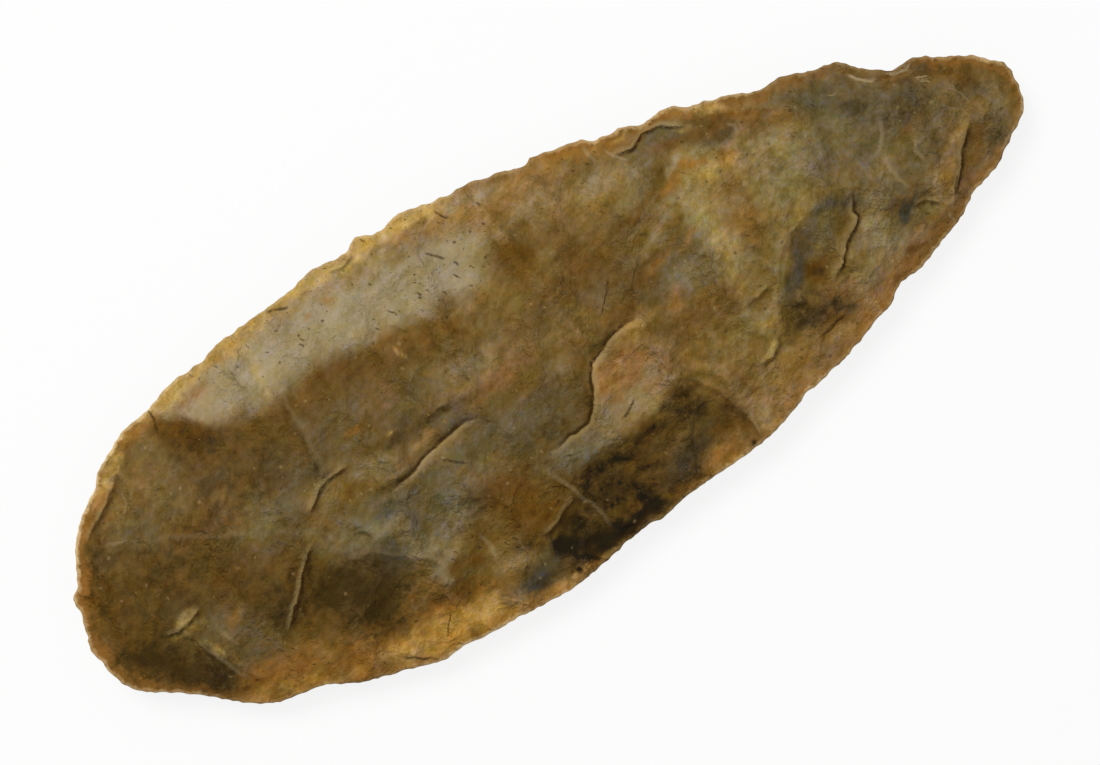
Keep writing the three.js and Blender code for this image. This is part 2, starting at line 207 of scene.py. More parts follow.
def spread_evenly(line: Array, count: int) -> Array:
    """Places points at even steps along a closed line.

    Args:
        line: The line's corners, one row each, without the first one again at the end.
        count: How many points to place.

    Returns:
        The points, one row each.
    """
    closed = np.vstack([line, line[:1]])
    way = np.concatenate([[0.0], np.cumsum(np.hypot(*np.diff(closed, axis=0).T))])
    stops = np.linspace(0.0, way[-1], count, endpoint=False)
    return np.column_stack([np.interp(stops, way, closed[:, axis]) for axis in range(2)])


def inward_normals(line: Array) -> Array:
    """Returns the inward unit normal at each point of a closed line that runs anticlockwise."""
    ahead = np.roll(line, -1, axis=0) - np.roll(line, 1, axis=0)
    ahead /= np.hypot(*ahead.T)[:, None]
    return np.column_stack([-ahead[:, 1], ahead[:, 0]])


@dataclass(frozen=True)
class Edge:
    """The blade's edge line from above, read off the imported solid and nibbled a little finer."""

    decimals: int = 3
    least_wall: float = 0.3
    points: int = 1400
    seed: int = 11
    nibble_gap: tuple[float, float] = (0.8, 2.8)
    nibble_share: float = 0.13
    shallowest_nibble: float = 0.2

    def read(self, node: bpy.types.Object) -> Array:
        """Finds the plan places of the solid's upright rim, where one corner lies above another.

        Args:
            node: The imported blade.

        Returns:
            The places in order, anticlockwise from the base.
        """
        mesh = node.data
        corners = np.empty(3 * len(mesh.vertices))
        mesh.vertices.foreach_get("co", corners)
        corners = np.unique(np.round(corners.reshape(-1, 3) / MM, self.decimals), axis=0)
        places, lowest, counts = np.unique(corners[:, :2], axis=0, return_index=True, return_counts=True)
        heights = corners[lowest + counts - 1, 2] - corners[lowest, 2]
        places = places[heights > self.least_wall]
        half = np.abs(places).max(axis=0)
        order = np.argsort(np.arctan2(places[:, 1] / half[1], places[:, 0] / half[0]))
        return places[order]

    def nibbled(self, corners: Array) -> Array:
        """Bites small hollows into the edge, which only ever take stone away.

        Args:
            corners: The edge line of the solid.

        Returns:
            The finer edge line, of even steps, that fills the same length and width.
        """
        line = spread_evenly(corners, self.points)
        step = np.hypot(*np.diff(line, axis=0).T).mean()
        chance = np.random.default_rng(self.seed)
        depth = np.zeros(self.points)
        start = 0.0
        while start < self.points:
            width = chance.uniform(*self.nibble_gap) / step
            bite = width * step * self.nibble_share * chance.uniform(self.shallowest_nibble, 1.0)
            inside = np.arange(math.ceil(start), min(math.ceil(start + width), self.points))
            depth[inside] = bite * np.sin(np.pi * (inside - start) / width)
            start += width
        bitten = line + depth[:, None] * inward_normals(line)
        reach = np.abs(corners).max(axis=0)
        middle = (bitten.max(axis=0) + bitten.min(axis=0)) / 2
        return (bitten - middle) * reach / (bitten.max(axis=0) - middle)


@dataclass(frozen=True)
class Lens:
    """The swollen body of the blade before any flake came off."""

    face_crown: float = 6.2
    back_crown: float = 5.0
    rim_thickness: float = 0.9
    rim_sway: float = 0.5
    rest_depth: float = 0.5
    crown_power: float = 2.1
    end_thinning: float = 0.3
    thickest_place: float = -0.15
    left_stone: float = 0.25
    half_length: float = 75.0
    half_width: float = 28.5
    calm_steps: int = 6
    sway_power: int = 3
    spine: tuple[Point, Point] = ((-45.0, -0.57), (43.5, -1.43))
    sways: tuple[tuple[int, float, float], ...] = ((4, 20, 0.5), (7, 130, 0.3), (12, 260, 0.2))
    calm_shares: tuple[Point, ...] = (
        (-0.996, -0.067), (-0.957, 0.239), (-0.833, 0.607), (-0.684, 0.793), (-0.500, 0.902),
        (-0.244, 0.954), (-0.131, 0.965), (0.048, 0.937), (0.160, 0.891), (0.328, 0.793),
        (0.461, 0.705), (0.629, 0.604), (0.791, 0.396), (0.888, 0.305), (1.000, -0.014),
        (0.920, -0.260), (0.741, -0.474), (0.560, -0.639), (0.315, -0.835), (0.029, -0.937),
        (-0.292, -0.989), (-0.487, -0.951), (-0.748, -0.744), (-0.959, -0.344),
    )

    @property
    def seat(self) -> float:
        """Height of the middle of the rim above the plane that the blade rests on."""
        return self.back_crown + self.rim_thickness / 2 - self.rest_depth

    def calm_line(self) -> Array:
        """Returns the calm line that the body swells toward, through its few shares."""
        knots = np.array(self.calm_shares) * (self.half_length, self.half_width)
        before, after, last = (np.roll(knots, shift, axis=0) for shift in (1, -1, -2))
        pieces = []
        for share in np.linspace(0.0, 1.0, self.calm_steps, endpoint=False):
            bends = (
                2 * knots
                + share * (after - before)
                + share**2 * (2 * before - 5 * knots + 4 * after - last)
                + share**3 * (3 * knots - before - 3 * after + last)
            )
            pieces.append(bends / 2)
        return np.stack(pieces, axis=1).reshape(-1, 2)

    def foot(self, x: Array, y: Array) -> tuple[Array, Array]:
        """Returns the points of the spine nearest to plan points."""
        (x0, y0), (x1, y1) = self.spine
        run_x, run_y = x1 - x0, y1 - y0
        along = np.clip(((x - x0) * run_x + (y - y0) * run_y) / (run_x**2 + run_y**2), 0, 1)
        return x0 + along * run_x, y0 + along * run_y

    def outward(self, x: Array, y: Array) -> Array:
        """Returns how far out plan points lie: 0 on the spine, 1 on the calm line and beyond."""
        foot_x, foot_y = self.foot(x, y)
        way_x, way_y = x - foot_x, y - foot_y
        distance = np.maximum(np.hypot(way_x, way_y), TINY)
        reach = distance_to_line(foot_x, foot_y, way_x / distance, way_y / distance, self.calm_line())
        return np.minimum(1.0, distance / np.maximum(reach, TINY))

    def rim_middle(self, x: Array, y: Array) -> Array:
        """Returns the height of the middle of the rim, which sways along the edge."""
        u, v = x / self.half_length, y / self.half_width
        turn = np.arctan2(v, u)
        near = np.minimum(1.0, np.hypot(u, v)) ** self.sway_power
        sway = sum(share * np.sin(waves * turn + math.radians(phase)) for waves, phase, share in self.sways)
        return self.seat + self.rim_sway * near * sway

    def unflaked(self, face: Face, x: Array, y: Array, outward: Array) -> Array:
        """Returns the thickness from the middle to a face before any flake came off."""
        crown = self.face_crown if face is Face.UPPER else self.back_crown
        thinning = 1 - self.end_thinning * (x / self.half_length - self.thickest_place) ** 2
        return self.rim_thickness / 2 + crown * thinning * (1 - outward**self.crown_power)


def distance_to_line(x: Array, y: Array, way_x: Array, way_y: Array, line: Array) -> Array:
    """Measures how far it is from plan points to the far side of a closed line.

    Args:
        x: Where each ray starts.
        y: Where each ray starts.
        way_x: The unit direction of each ray.
        way_y: The unit direction of each ray.
        line: The line's corners, one row each.

    Returns:
        The distance along each ray to its last crossing of the line.
    """
    farthest = np.zeros_like(np.asarray(x, dtype=float))
    for (ax, ay), (bx, by) in zip(line, np.roll(line, -1, axis=0)):
        side_x, side_y = bx - ax, by - ay
        across = way_x * side_y - way_y * side_x
        across = np.where(np.abs(across) < NEARLY_PARALLEL, NEARLY_PARALLEL, across)
        gap_x, gap_y = ax - x, ay - y
        ray = (gap_x * side_y - gap_y * side_x) / across
        share = (gap_x * way_y - gap_y * way_x) / across
        hit = (share >= 0) & (share <= 1)
        farthest = np.where(hit & (ray > farthest), ray, farthest)
    return farthest


@dataclass(frozen=True)
class Flake:
    """The scar of one flake: its deepest point, the way the flake ran, its size and its end."""

    x: float
    y: float
    aim: float
    run: float
    spread: float
    depth: float
    end: End = End.FEATHER

    PLAN_POWER = 2.5
    STEP_FOOT = 0.93
    STEP_BOWL = 0.35
    STEP_FADE = 0.5
    RIM_CROSSING = 0.93
    RIPPLE_SHARE = 0.045
    RIPPLE_LENGTH = 1.4
    RIPPLE_GROWTH = 0.12
    LEAST_RING = 1e-6

    def depth_at(self, x: Array, y: Array, back: float) -> Array:
        """Measures how deep the scar cuts at plan points.

        Args:
            x: The plan points.
            y: The plan points.
            back: How far the scar reaches behind its deepest point.

        Returns:
            The depth, which is below 0 outside the scar.
        """
        turn = math.radians(self.aim)
        along = (x - self.x) * math.cos(turn) + (y - self.y) * math.sin(turn)
        aside = (y - self.y) * math.cos(turn) - (x - self.x) * math.sin(turn)
        reach = np.where(along > 0, self.run, back)
        long_share = np.abs(along) / reach
        wide_share = np.abs(aside) / (self.spread / 2)
        ring = (long_share**self.PLAN_POWER + wide_share**self.PLAN_POWER) ** (1 / self.PLAN_POWER)
        dish = 1 - ring * ring
        ripple = self.RIPPLE_LENGTH + self.RIPPLE_GROWTH * self.run
        waves = np.cos(2 * np.pi * np.hypot(along + back, aside) / ripple)
        dish = dish + self.RIPPLE_SHARE * waves * np.clip(dish, 0, 1)
        if self.end is End.FEATHER:
            return self.depth * dish
        forward = (long_share / np.maximum(ring, self.LEAST_RING)) ** (self.PLAN_POWER / 2)
        forward = np.where(along > 0, forward, 0)
        ahead = np.clip(forward / self.STEP_FADE, 0, 1)
        bowl = 1 - self.STEP_BOWL * np.minimum(ring, self.STEP_FOOT) ** 2
        riser = np.minimum(1, (1 - ring) / (1 - self.STEP_FOOT))
        return self.depth * (dish * (1 - ahead) + bowl * riser * ahead)


@dataclass(frozen=True)
class Retouch:
    """A row of small chips pressed off the edge of both faces, all the way round."""

    run: float
    spread: float
    depth: float
    least: float
    seed: int
    keep: float = 1.0
    swing: float = 12.0

    # Where a chip is deepest, how far it runs on and back, and how wide it is, as shares
    CENTRE_SHARE = 0.35
    RUN_SHARE = 0.65
    BACK_SHARE = 0.45
    SPREAD_SHARE = 1.25

    def chips(self, face: Face, line: Array) -> Iterator[tuple[Flake, float]]:
        """Walks round the edge.

        Args:
            face: The face that the chips come off.
            line: The edge line, anticlockwise, in even steps.

        Yields:
            Each chip's scar, and how far it reaches back to the edge.
        """
        chance = np.random.default_rng(self.seed + face.value)
        step = np.hypot(*np.diff(line, axis=0).T).mean()
        inward = inward_normals(line)
        place = 0.0
        while place < len(line) - 1:
            size = chance.uniform(self.least, 1.0)
            spread = size * self.spread
            middle = int(place + spread / step / 2) % len(line)
            place += spread / step
            swing, kept = chance.uniform(-self.swing, self.swing), chance.uniform() < self.keep
            if not kept:
                continue
            reach = size * self.run
            centre = line[middle] + self.CENTRE_SHARE * reach * inward[middle]
            aim = math.degrees(math.atan2(inward[middle, 1], inward[middle, 0])) + swing
            run, width = self.RUN_SHARE * reach, self.SPREAD_SHARE * spread
            yield Flake(*centre, aim, run, width, size * self.depth), self.BACK_SHARE * reach


@dataclass(frozen=True)
class Line:
    """An open line over the plan, drawn through its points."""

    points: tuple[Point, ...]

    END_SHARE = 0.22

    def measure(self, x: Array, y: Array) -> tuple[Array, Array]:
        """Measures plan points against the line.

        Args:
            x: The plan points.
            y: The plan points.

        Returns:
            The distance from the line, positive on its left, and a strength that is 1 along the
            line and fades to 0 at its ends.
        """
        nearest = np.full(x.shape, np.inf)
        gap = np.zeros(x.shape)
        share = np.zeros(x.shape)
        lengths = [math.dist(a, b) for a, b in zip(self.points, self.points[1:])]
        total, passed = sum(lengths), 0.0
        for (ax, ay), (bx, by), length in zip(self.points, self.points[1:], lengths):
            run_x, run_y = (bx - ax) / length, (by - ay) / length
            along = np.clip((x - ax) * run_x + (y - ay) * run_y, 0, length)
            off_x, off_y = x - ax - along * run_x, y - ay - along * run_y
            distance = np.hypot(off_x, off_y)
            closer = distance < nearest
            side = np.sign(run_x * off_y - run_y * off_x)
            nearest = np.where(closer, distance, nearest)
            gap = np.where(closer, distance * side, gap)
            share = np.where(closer, (passed + along) / total, share)
            passed += length
        fade = smoothstep(0.0, self.END_SHARE, share) * smoothstep(0.0, self.END_SHARE, 1 - share)
        return gap, fade


@dataclass(frozen=True)
class Ledge:
    """A step in the surface along a line: higher on its left, lower on its right."""

    line: Line
    height: float
    width: float
    fade: float
    # How dark the foot of the step is painted, partly dirt and partly painted shade
    shade_and_dirt: float

    def lift(self, gap: Array, strength: Array) -> Array:
        """Returns how far the step raises the surface, or lowers it."""
        step = np.tanh(2 * gap / self.width) * np.exp(-np.abs(gap) / self.fade)
        return self.height / 2 * strength * step


@dataclass(frozen=True)
class Stain:
    """A soft patch of a mineral, longer one way than the other."""

    x: float
    y: float
    long: float
    wide: float
    amount: float
    turn: float = 0.0
    soft: float = 0.8

    def mask(self, x: Array, y: Array) -> Array:
        """Returns how much of it lies at plan points."""
        turn = math.radians(self.turn)
        along = (x - self.x) * math.cos(turn) + (y - self.y) * math.sin(turn)
        aside = (y - self.y) * math.cos(turn) - (x - self.x) * math.sin(turn)
        ring = np.hypot(along / self.long, aside / self.wide)
        return self.amount * smoothstep(-1 - self.soft, self.soft - 1, -ring)


@dataclass(frozen=True)
class Zone:
    """A patch of a mineral with a drawn border."""

    points: tuple[Point, ...]
    amount: float
    soft: float

    def mask(self, x: Array, y: Array) -> Array:
        """Returns how much of it lies at plan points."""
        nearest = np.full(x.shape, np.inf)
        inside = np.zeros(x.shape, dtype=bool)
        for (ax, ay), (bx, by) in zip(self.points, self.points[1:] + self.points[:1]):
            run_x, run_y = bx - ax, by - ay
            along = np.clip(((x - ax) * run_x + (y - ay) * run_y) / (run_x**2 + run_y**2), 0, 1)
            nearest = np.minimum(nearest, np.hypot(x - ax - along * run_x, y - ay - along * run_y))
            spans = (ay > y) != (by > y)
            crossing = ax + (y - ay) * run_x / (run_y or TINY)
            inside ^= spans & (x < crossing)
        gap = np.where(inside, nearest, -nearest)
        return self.amount * smoothstep(-self.soft, self.soft, gap)


# Scars of the upper face: deepest point, aim in degrees, run, spread, depth and end
UPPER_FLAKES: tuple[Flake, ...] = tuple(
    Flake(*row)
    for row in (
        (-52, -2, 8, 17, 15, 0.75), (-36, 4, -68, 13, 19, 0.8), (22, 1, -82, 17, 30, 0.75),
        (-14, -3, 95, 14, 28, 0.75), (48, 1, 176, 15, 11, 0.8), (9, -7, 64, 12, 17, 0.8),
        (-61, 11, -42, 13, 17, 0.95), (-54, 15, -68, 13, 12, 0.85), (-43, 15, -83, 17, 16.5, 1),
        (-24.5, 15, -78, 18, 25, 1.05, End.STEP), (-3.4, 10, -87, 21.5, 16.5, 1.1, End.STEP),
        (8.5, 12, -80, 14.5, 12, 1, End.STEP), (15, 17, -70, 8, 15, 0.85),
        (28.5, 13, -106, 15, 16, 0.9), (27.5, 18.8, -92, 3.2, 10, 0.95, End.STEP),
        (42, 10, -110, 13, 13.5, 0.95), (52, 8.5, -115, 10.5, 12, 0.95), (62, 4.5, -118, 7, 9.5, 0.8),
        (69.5, 2.5, -150, 6, 7, 0.6), (58, 11, -115, 2.4, 6, 1.1, End.STEP),
        (62.3, 8.6, -100, 2, 5, 0.8, End.STEP), (70, -3.5, 125, 5, 6.5, 0.6),
        (63.5, -6.5, 68, 5.5, 7, 0.95), (59, -6.5, 82, 4.8, 5.5, 0.85), (54.5, -6, 95, 6.5, 7.5, 0.8),
        (50, -9, 114, 9, 13, 1, End.STEP), (37, -8, 48, 9.5, 9, 1.05, End.STEP),
        (37, -14, 88, 9, 15, 0.9), (25, -16, 98, 13, 12.5, 0.9), (12, -18, 94, 7.5, 15, 1.2, End.STEP),
        (2, -20, 86, 6.5, 16, 1.15, End.STEP), (-7.5, -22.5, 78, 4.8, 8, 1.5, End.STEP),
        (-20, -18, 84, 14, 20, 0.95), (-38, -14, 116, 11.5, 16, 1.15, End.STEP),
        (-51, -14, 76, 11, 15, 0.95), (-65, -9, 38, 10, 13, 1), (-69, 1, 10, 9, 11, 0.85),
        (-62.5, 15, -52, 4, 8.5, 0.85, End.STEP), (-71, 7.5, -30, 3.5, 6, 0.7),
        (-34, 22.5, -94, 5, 7, 0.8), (-17.5, 24.3, -86, 4, 6, 0.8, End.STEP),
        (-6.3, 23.8, -97, 5, 7, 0.8), (12, 21.5, -82, 4.5, 6.5, 0.75), (36.5, 16.5, -110, 4.5, 6.5, 0.8),
        (47, 14, -104, 4, 6, 0.75), (-70, -8, 40, 4, 6.5, 0.75), (-58.5, -17.5, 62, 4, 7, 0.8),
        (-45, -21, 72, 4.5, 7.5, 0.8), (-31, -24, 88, 4, 8, 0.85), (20, -21.5, 98, 4, 6, 0.75),
        (31, -18.8, 92, 4, 6.5, 0.75), (43, -14.5, 108, 4, 7, 0.8),
    )
)

# Scars of the underside, in the same form
UNDER_FLAKES: tuple[Flake, ...] = tuple(
    Flake(*row)
    for row in (
        (-44, 1, 10, 15, 17, 0.75), (34, 4, -62, 13, 22, 0.75), (24, -4, 84, 16, 20, 0.75),
        (-27, 6, -74, 10, 20, 0.75), (-66, 8, -38, 12, 14, 0.9), (-52, 14, -70, 13, 16, 0.9),
        (-38, 17, -100, 16, 15, 0.95), (-24, 18, -82, 13, 15, 0.95, End.STEP), (-10, 18, -97, 13, 16, 0.9),
        (6, 17, -82, 12.5, 15, 1), (20, 14, -102, 15, 15, 0.9), (35, 11, -86, 13, 15, 0.9),
        (48, 8, -112, 12, 13, 0.85), (60, 4, -128, 8, 10, 0.75), (69, 0.5, 170, 6, 8, 0.6),
        (64, -4, 116, 8, 10, 0.8), (53, -8, 102, 10, 12, 0.85), (40, -11, 82, 12, 14, 0.9, End.STEP),
        (26, -14, 97, 13, 15, 0.9), (11, -17, 82, 12, 16, 0.95), (-5, -18, 95, 12, 16, 1),
        (-21, -18, 102, 12, 15, 0.9), (-36, -17, 78, 14, 16, 0.95), (-51, -13, 70, 12, 15, 0.9),
        (-65, -7, 34, 12, 13, 0.9), (-70, 1, 3, 10, 10, 0.7), (-60, 15, -55, 4, 7, 0.8),
        (-45, 20.5, -84, 4.5, 7, 0.8, End.STEP), (-16, 24, -93, 4, 7, 0.8), (13, 21.3, -96, 4.5, 7, 0.8),
        (42, 13.5, -108, 4, 6.5, 0.75), (55, 9.5, -118, 3.5, 6, 0.7), (58, -9, 110, 3.5, 6, 0.7),
        (33, -17.5, 90, 4, 7, 0.8, End.STEP), (2, -23, 86, 4.5, 7.5, 0.8), (-13, -24.5, 92, 4, 7, 0.8),
        (-43, -21, 80, 4.5, 7, 0.8), (-60, -14.5, 55, 4, 7, 0.8),
    )
)

# Rows of chips along the edge, from the pressed ones down to the crumbled rim
RETOUCH_ROWS: tuple[Retouch, ...] = (
    Retouch(run=4.6, spread=5.5, depth=0.8, least=0.6, seed=21),
    Retouch(run=2.9, spread=2.9, depth=0.42, least=0.5, seed=31, keep=0.75, swing=22),
    Retouch(run=1.5, spread=1.5, depth=0.24, least=0.45, seed=41, keep=0.8, swing=30),
)

# Steps of the upper face: points with the higher side on the left, height, width, fade, and how dark the
# foot is painted, as dirt and painted shade
UPPER_LEDGES: tuple[Ledge, ...] = tuple(
    Ledge(Line(points), *rest)
    for points, *rest in (
        # The plateau in the middle, long step above it, and the fork toward the base
        (((15.2, -1.6), (13.6, -1), (11.2, -0.8), (8, -1.5), (4.7, -3), (3.7, -4.3), (3.1, -5.8),
          (1.8, -8.1), (0.1, -9.7), (-2.5, -10.3), (-5.5, -10.5), (-8.5, -10.2)), 0.85, 0.8, 3.6, 1),
        (((-11.6, -1.6), (-14.8, -1.2), (-17.5, -1.6), (-20, -2.2), (-24.5, -3.2), (-29, -4.2)),
         0.55, 0.9, 2.6, 1),
        (((-39.2, -1.4), (-37.2, 0.2), (-35.4, 1.5), (-33.2, 2), (-30.6, 1.5)), 0.4, 0.7, 2.2, 1),
        (((-50.4, -13.8), (-48.2, -12.2), (-46.2, -10.2), (-44.2, -7.7), (-42.2, -5.7), (-39.9, -4.5)),
         0.55, 0.7, 3.2, 1),
        (((-65, -5.2), (-62.8, -5.6), (-60.6, -5), (-58.2, -4)), 0.4, 0.6, 1.8, 1),
        (((-39, -9.2), (-34.5, -9.8), (-31.2, -12.8), (-28.4, -14.6), (-26.4, -17.6)), 0.3, 1, 4, 0.3),
        # Toward the tip: the long soft ridge, the hook, small hinged chips
        (((26.6, -12.4), (29.6, -10.4), (31.6, -7.2), (34, -4.2), (36.8, -1.2), (39.8, 3)),
         0.65, 1.6, 3, 0.2),
        (((38.4, -11), (41.4, -8.8), (43.6, -6.6), (45.9, -5), (45.7, -3.9), (47.4, -1.8)),
         0.6, 0.8, 2.6, 1),
        (((23.6, -15.4), (26.4, -15.4), (27.8, -14.5), (28.2, -13)), 0.3, 0.6, 1.6, 0.9),
        (((25.8, -7.8), (29, -7.1), (31.2, -6)), 0.25, 0.7, 2, 0.7),
        (((58.9, -10.2), (60.9, -7.4), (63.2, -4.6), (66.4, -1.4)), 0.5, 0.8, 2.4, 1),
        (((57.6, -1.8), (57, -4.2), (56.9, -6.6), (57.8, -8.6), (59.4, -9.8)), 0.22, 0.6, 1.8, 0.2),
        (((53.2, -7.2), (55.6, -7.7), (57.6, -9)), 0.3, 0.6, 1.6, 1),
        (((53.9, 2.4), (53, 0.4), (53.2, -2.8), (54.4, -5.2)), 0.25, 1, 2.4, 0),
        (((58.6, 1.6), (57.7, -0.6), (58, -3)), 0.25, 0.9, 2, 0),
        # Bites along the upper edge
        (((64.6, 9.9), (62, 9), (59.8, 9.3), (57.6, 10.2), (56.2, 11.6), (55.4, 13.4)),
         0.4, 0.6, 1.6, 0.3),
        (((21, 19.6), (24.6, 19.3), (27, 20.2), (29.8, 20.2), (31.4, 18.9), (33.2, 17.4)),
         0.45, 0.6, 2, 1),
        (((-68.6, 11), (-65.4, 12.8), (-62, 15), (-59.4, 17.8)), 0.35, 0.7, 2, 0.9),
        (((-20.4, 26.4), (-18, 25.7), (-15.6, 26.6)), 0.35, 0.6, 1.4, 0.8),
        # The dark scars of the lower edge
        (((-13.6, -20), (-10.4, -19.4), (-8.2, -18.4), (-5.8, -17.4)), 0.45, 0.7, 2.6, 0.7),
        (((13.2, -10.6), (15.6, -12.8), (17.6, -16), (18.9, -19.6), (19.6, -23), (19.7, -25.4)),
         0.32, 0.9, 4, 0.3),
        (((-10.4, -11), (-8.6, -13.2), (-7.2, -15.8), (-5.9, -18.8), (-4.6, -22.6)), 0.22, 0.9, 3, 0.2),
        (((-35.4, 26), (-34.9, 20), (-33.8, 15.4), (-34, 9), (-34.4, 3.4)), 0.22, 1, 3.6, 0),
    )
)

# Steps of the underside, in the same form
UNDER_LEDGES: tuple[Ledge, ...] = tuple(
    Ledge(Line(points), *rest)
    for points, *rest in (
        (((-19, 7.4), (-22.6, 5.4), (-26.8, 5), (-30.4, 6.4)), 0.5, 0.8, 3, 1),
        (((8, -4.6), (12.4, -3.4), (16.2, -3.8), (19.6, -5.6)), 0.45, 0.8, 3, 1),
        (((-49, -1.8), (-45.4, -3), (-41.8, -2.2), (-38.6, -3.4)), 0.35, 0.7, 2.4, 0.8),
        (((44, 2.2), (40.8, 0.8), (38.6, -1.4), (35.4, -2)), 0.4, 0.8, 2.6, 0.9),
        (((-6.4, 12.6), (-8.2, 9.6), (-7, 6.4)), 0.3, 0.9, 3, 0.3),
        (((58.4, 3.4), (56, 1.2), (56.4, -1.8)), 0.28, 0.8, 2.2, 0.5),
    )
)

# Dark cracks and gashes of the upper face: points and width
UPPER_CRACKS: tuple[tuple[Line, float], ...] = tuple(
    (Line(points), width)
    for points, width in (
        (((-51.2, 23.2), (-50.7, 21.2), (-51.5, 19.2)), 0.22),
        (((-30.6, 25.9), (-28.8, 25.4), (-27, 24.8)), 0.24),
        (((-7.4, 21.6), (-6.2, 20.4), (-5, 19.2)), 0.24),
        (((-3.3, 26), (-2.6, 25), (-1.9, 24)), 0.22),
        (((-39.2, -24.4), (-36.9, -25.5), (-35.4, -26.6), (-34.2, -28)), 0.24),
        (((-32.2, -25.4), (-31, -24), (-29.6, -22.4)), 0.14),
        (((4.2, -12), (5.6, -11.3), (7.2, -10)), 0.26),
        (((8.4, 1.6), (10.4, 3.6), (12.9, 5.6)), 0.16),
        (((-20, -3.6), (-18.6, -4.8), (-16.8, -6)), 0.22),
        (((32.6, -16.4), (35, -16.1), (38.4, -15.4)), 0.22),
        (((-66.4, 12.4), (-63.6, 13.9), (-60.8, 16.4)), 0.2),
        (((60.6, -10), (59.8, -8.6), (61, -6.6)), 0.2),
        (((-48.4, -12.8), (-47.2, -11), (-45.6, -10)), 0.2),
        (((-9, -14.4), (-7.6, -15.4), (-6.6, -16.6)), 0.14),
        (((47.2, -1.6), (46.4, -3.2), (45.9, -4.2)), 0.26),
        (((-16.2, 17.6), (-15.2, 16.8), (-14.6, 15.8)), 0.16),
        (((-5.4, 17.2), (-5.2, 16.6), (-5, 16)), 0.18),
        (((24.2, -15.8), (26.2, -15.7), (27.6, -15)), 0.16),
        (((2.2, -24.6), (-1.6, -25.4), (-5.6, -26)), 0.36),
    )
)

# Pale lines of the upper face along ridges and veins, and painted glints in the notch by the tip: points,
# width and strength
UPPER_VEINS_AND_GLINTS: tuple[tuple[Line, float, float], ...] = tuple(
    (Line(points), width, strength)
    for points, width, strength in (
        (((-35.3, 25), (-34.9, 20), (-33.8, 15.4), (-34, 9), (-34.4, 1)), 0.55, 0.22),
        (((-63.4, 8.6), (-57, 6), (-50, 2.4), (-42, -2), (-36, -6)), 0.6, 0.25),
        (((-61.2, -9), (-59.8, -12), (-57.6, -16.8)), 0.4, 0.5),
        (((-58.2, -8), (-57.4, -9.6), (-56.6, -12)), 0.4, 0.4),
        (((-8.6, -11.6), (-7.6, -14), (-6.4, -16.4), (-5.4, -20), (-4.2, -24.4)), 0.4, 0.45),
        (((-30.6, -12.6), (-28.6, -14), (-27.4, -15.6), (-26.4, -18)), 0.5, 0.45),
        (((55.8, 5.4), (54.4, 3), (52.6, 1)), 0.4, 0.6),
        (((53.6, 1.8), (53.1, -0.8), (53.3, -3.4), (54.6, -5.4)), 0.35, 0.6),
        (((58.6, 0.8), (57.7, -1.2), (57.9, -3.4)), 0.35, 0.6),
        (((59, -4.4), (57.6, -5.6), (57, -7.2), (57.6, -8.8), (58.4, -10)), 0.35, 0.9),
        (((57.4, -10.2), (57.3, -11.4), (57.6, -12.6)), 0.35, 0.7),
        # The next five lines are painted glints: white highlights in the notch by the tip
        (((55.2, 13), (55.9, 11.6), (57.4, 10.4), (58.6, 10.1)), 0.3, 1.9),
        (((59.4, 10.4), (60.2, 9.4), (62.2, 9.2), (63.6, 9.9)), 0.32, 1.9),
        (((60, 9.9), (61.4, 9.9), (62.8, 10)), 0.16, 1.4),
        (((62.8, 7.6), (63.6, 7.1), (64.6, 7)), 0.16, 1.6),
        (((63, 6.6), (63.8, 6.6), (64.4, 6)), 0.14, 1.4),
        (((51, 11.8), (52, 11.2), (52.6, 11.4)), 0.12, 1),
        (((21.2, 21), (21.9, 19.2), (23.2, 17.9)), 0.3, 0.9),
        (((29.2, 20.4), (30.6, 19.6), (32.2, 17.8)), 0.16, 1.4),
        (((19.8, -19), (19.7, -21.6), (19.6, -24)), 0.3, 0.7),
        (((-20.8, -14.6), (-20.2, -17.6), (-20.6, -20.6)), 0.4, 0.6),
        (((37.2, 15.4), (38.2, 14.4), (37.8, 13)), 0.3, 0.5),
        (((18.8, 23.4), (19, 21.6), (19.4, 20)), 0.35, 0.6),
        (((16, 8), (19.6, 9.6), (24.6, 12.4)), 0.4, 0.4),
        (((64, 2), (66, 0.4), (66.4, -1.4)), 0.3, 0.5),
        (((66, 4), (67.4, 2.2), (67.2, 0.6)), 0.25, 0.5),
        (((-62, 11.6), (-60.2, 13.6), (-60.6, 15.8)), 0.3, 0.5),
        (((-66, 10), (-64, 9.4), (-60.8, 8)), 0.35, 0.5),
    )
)

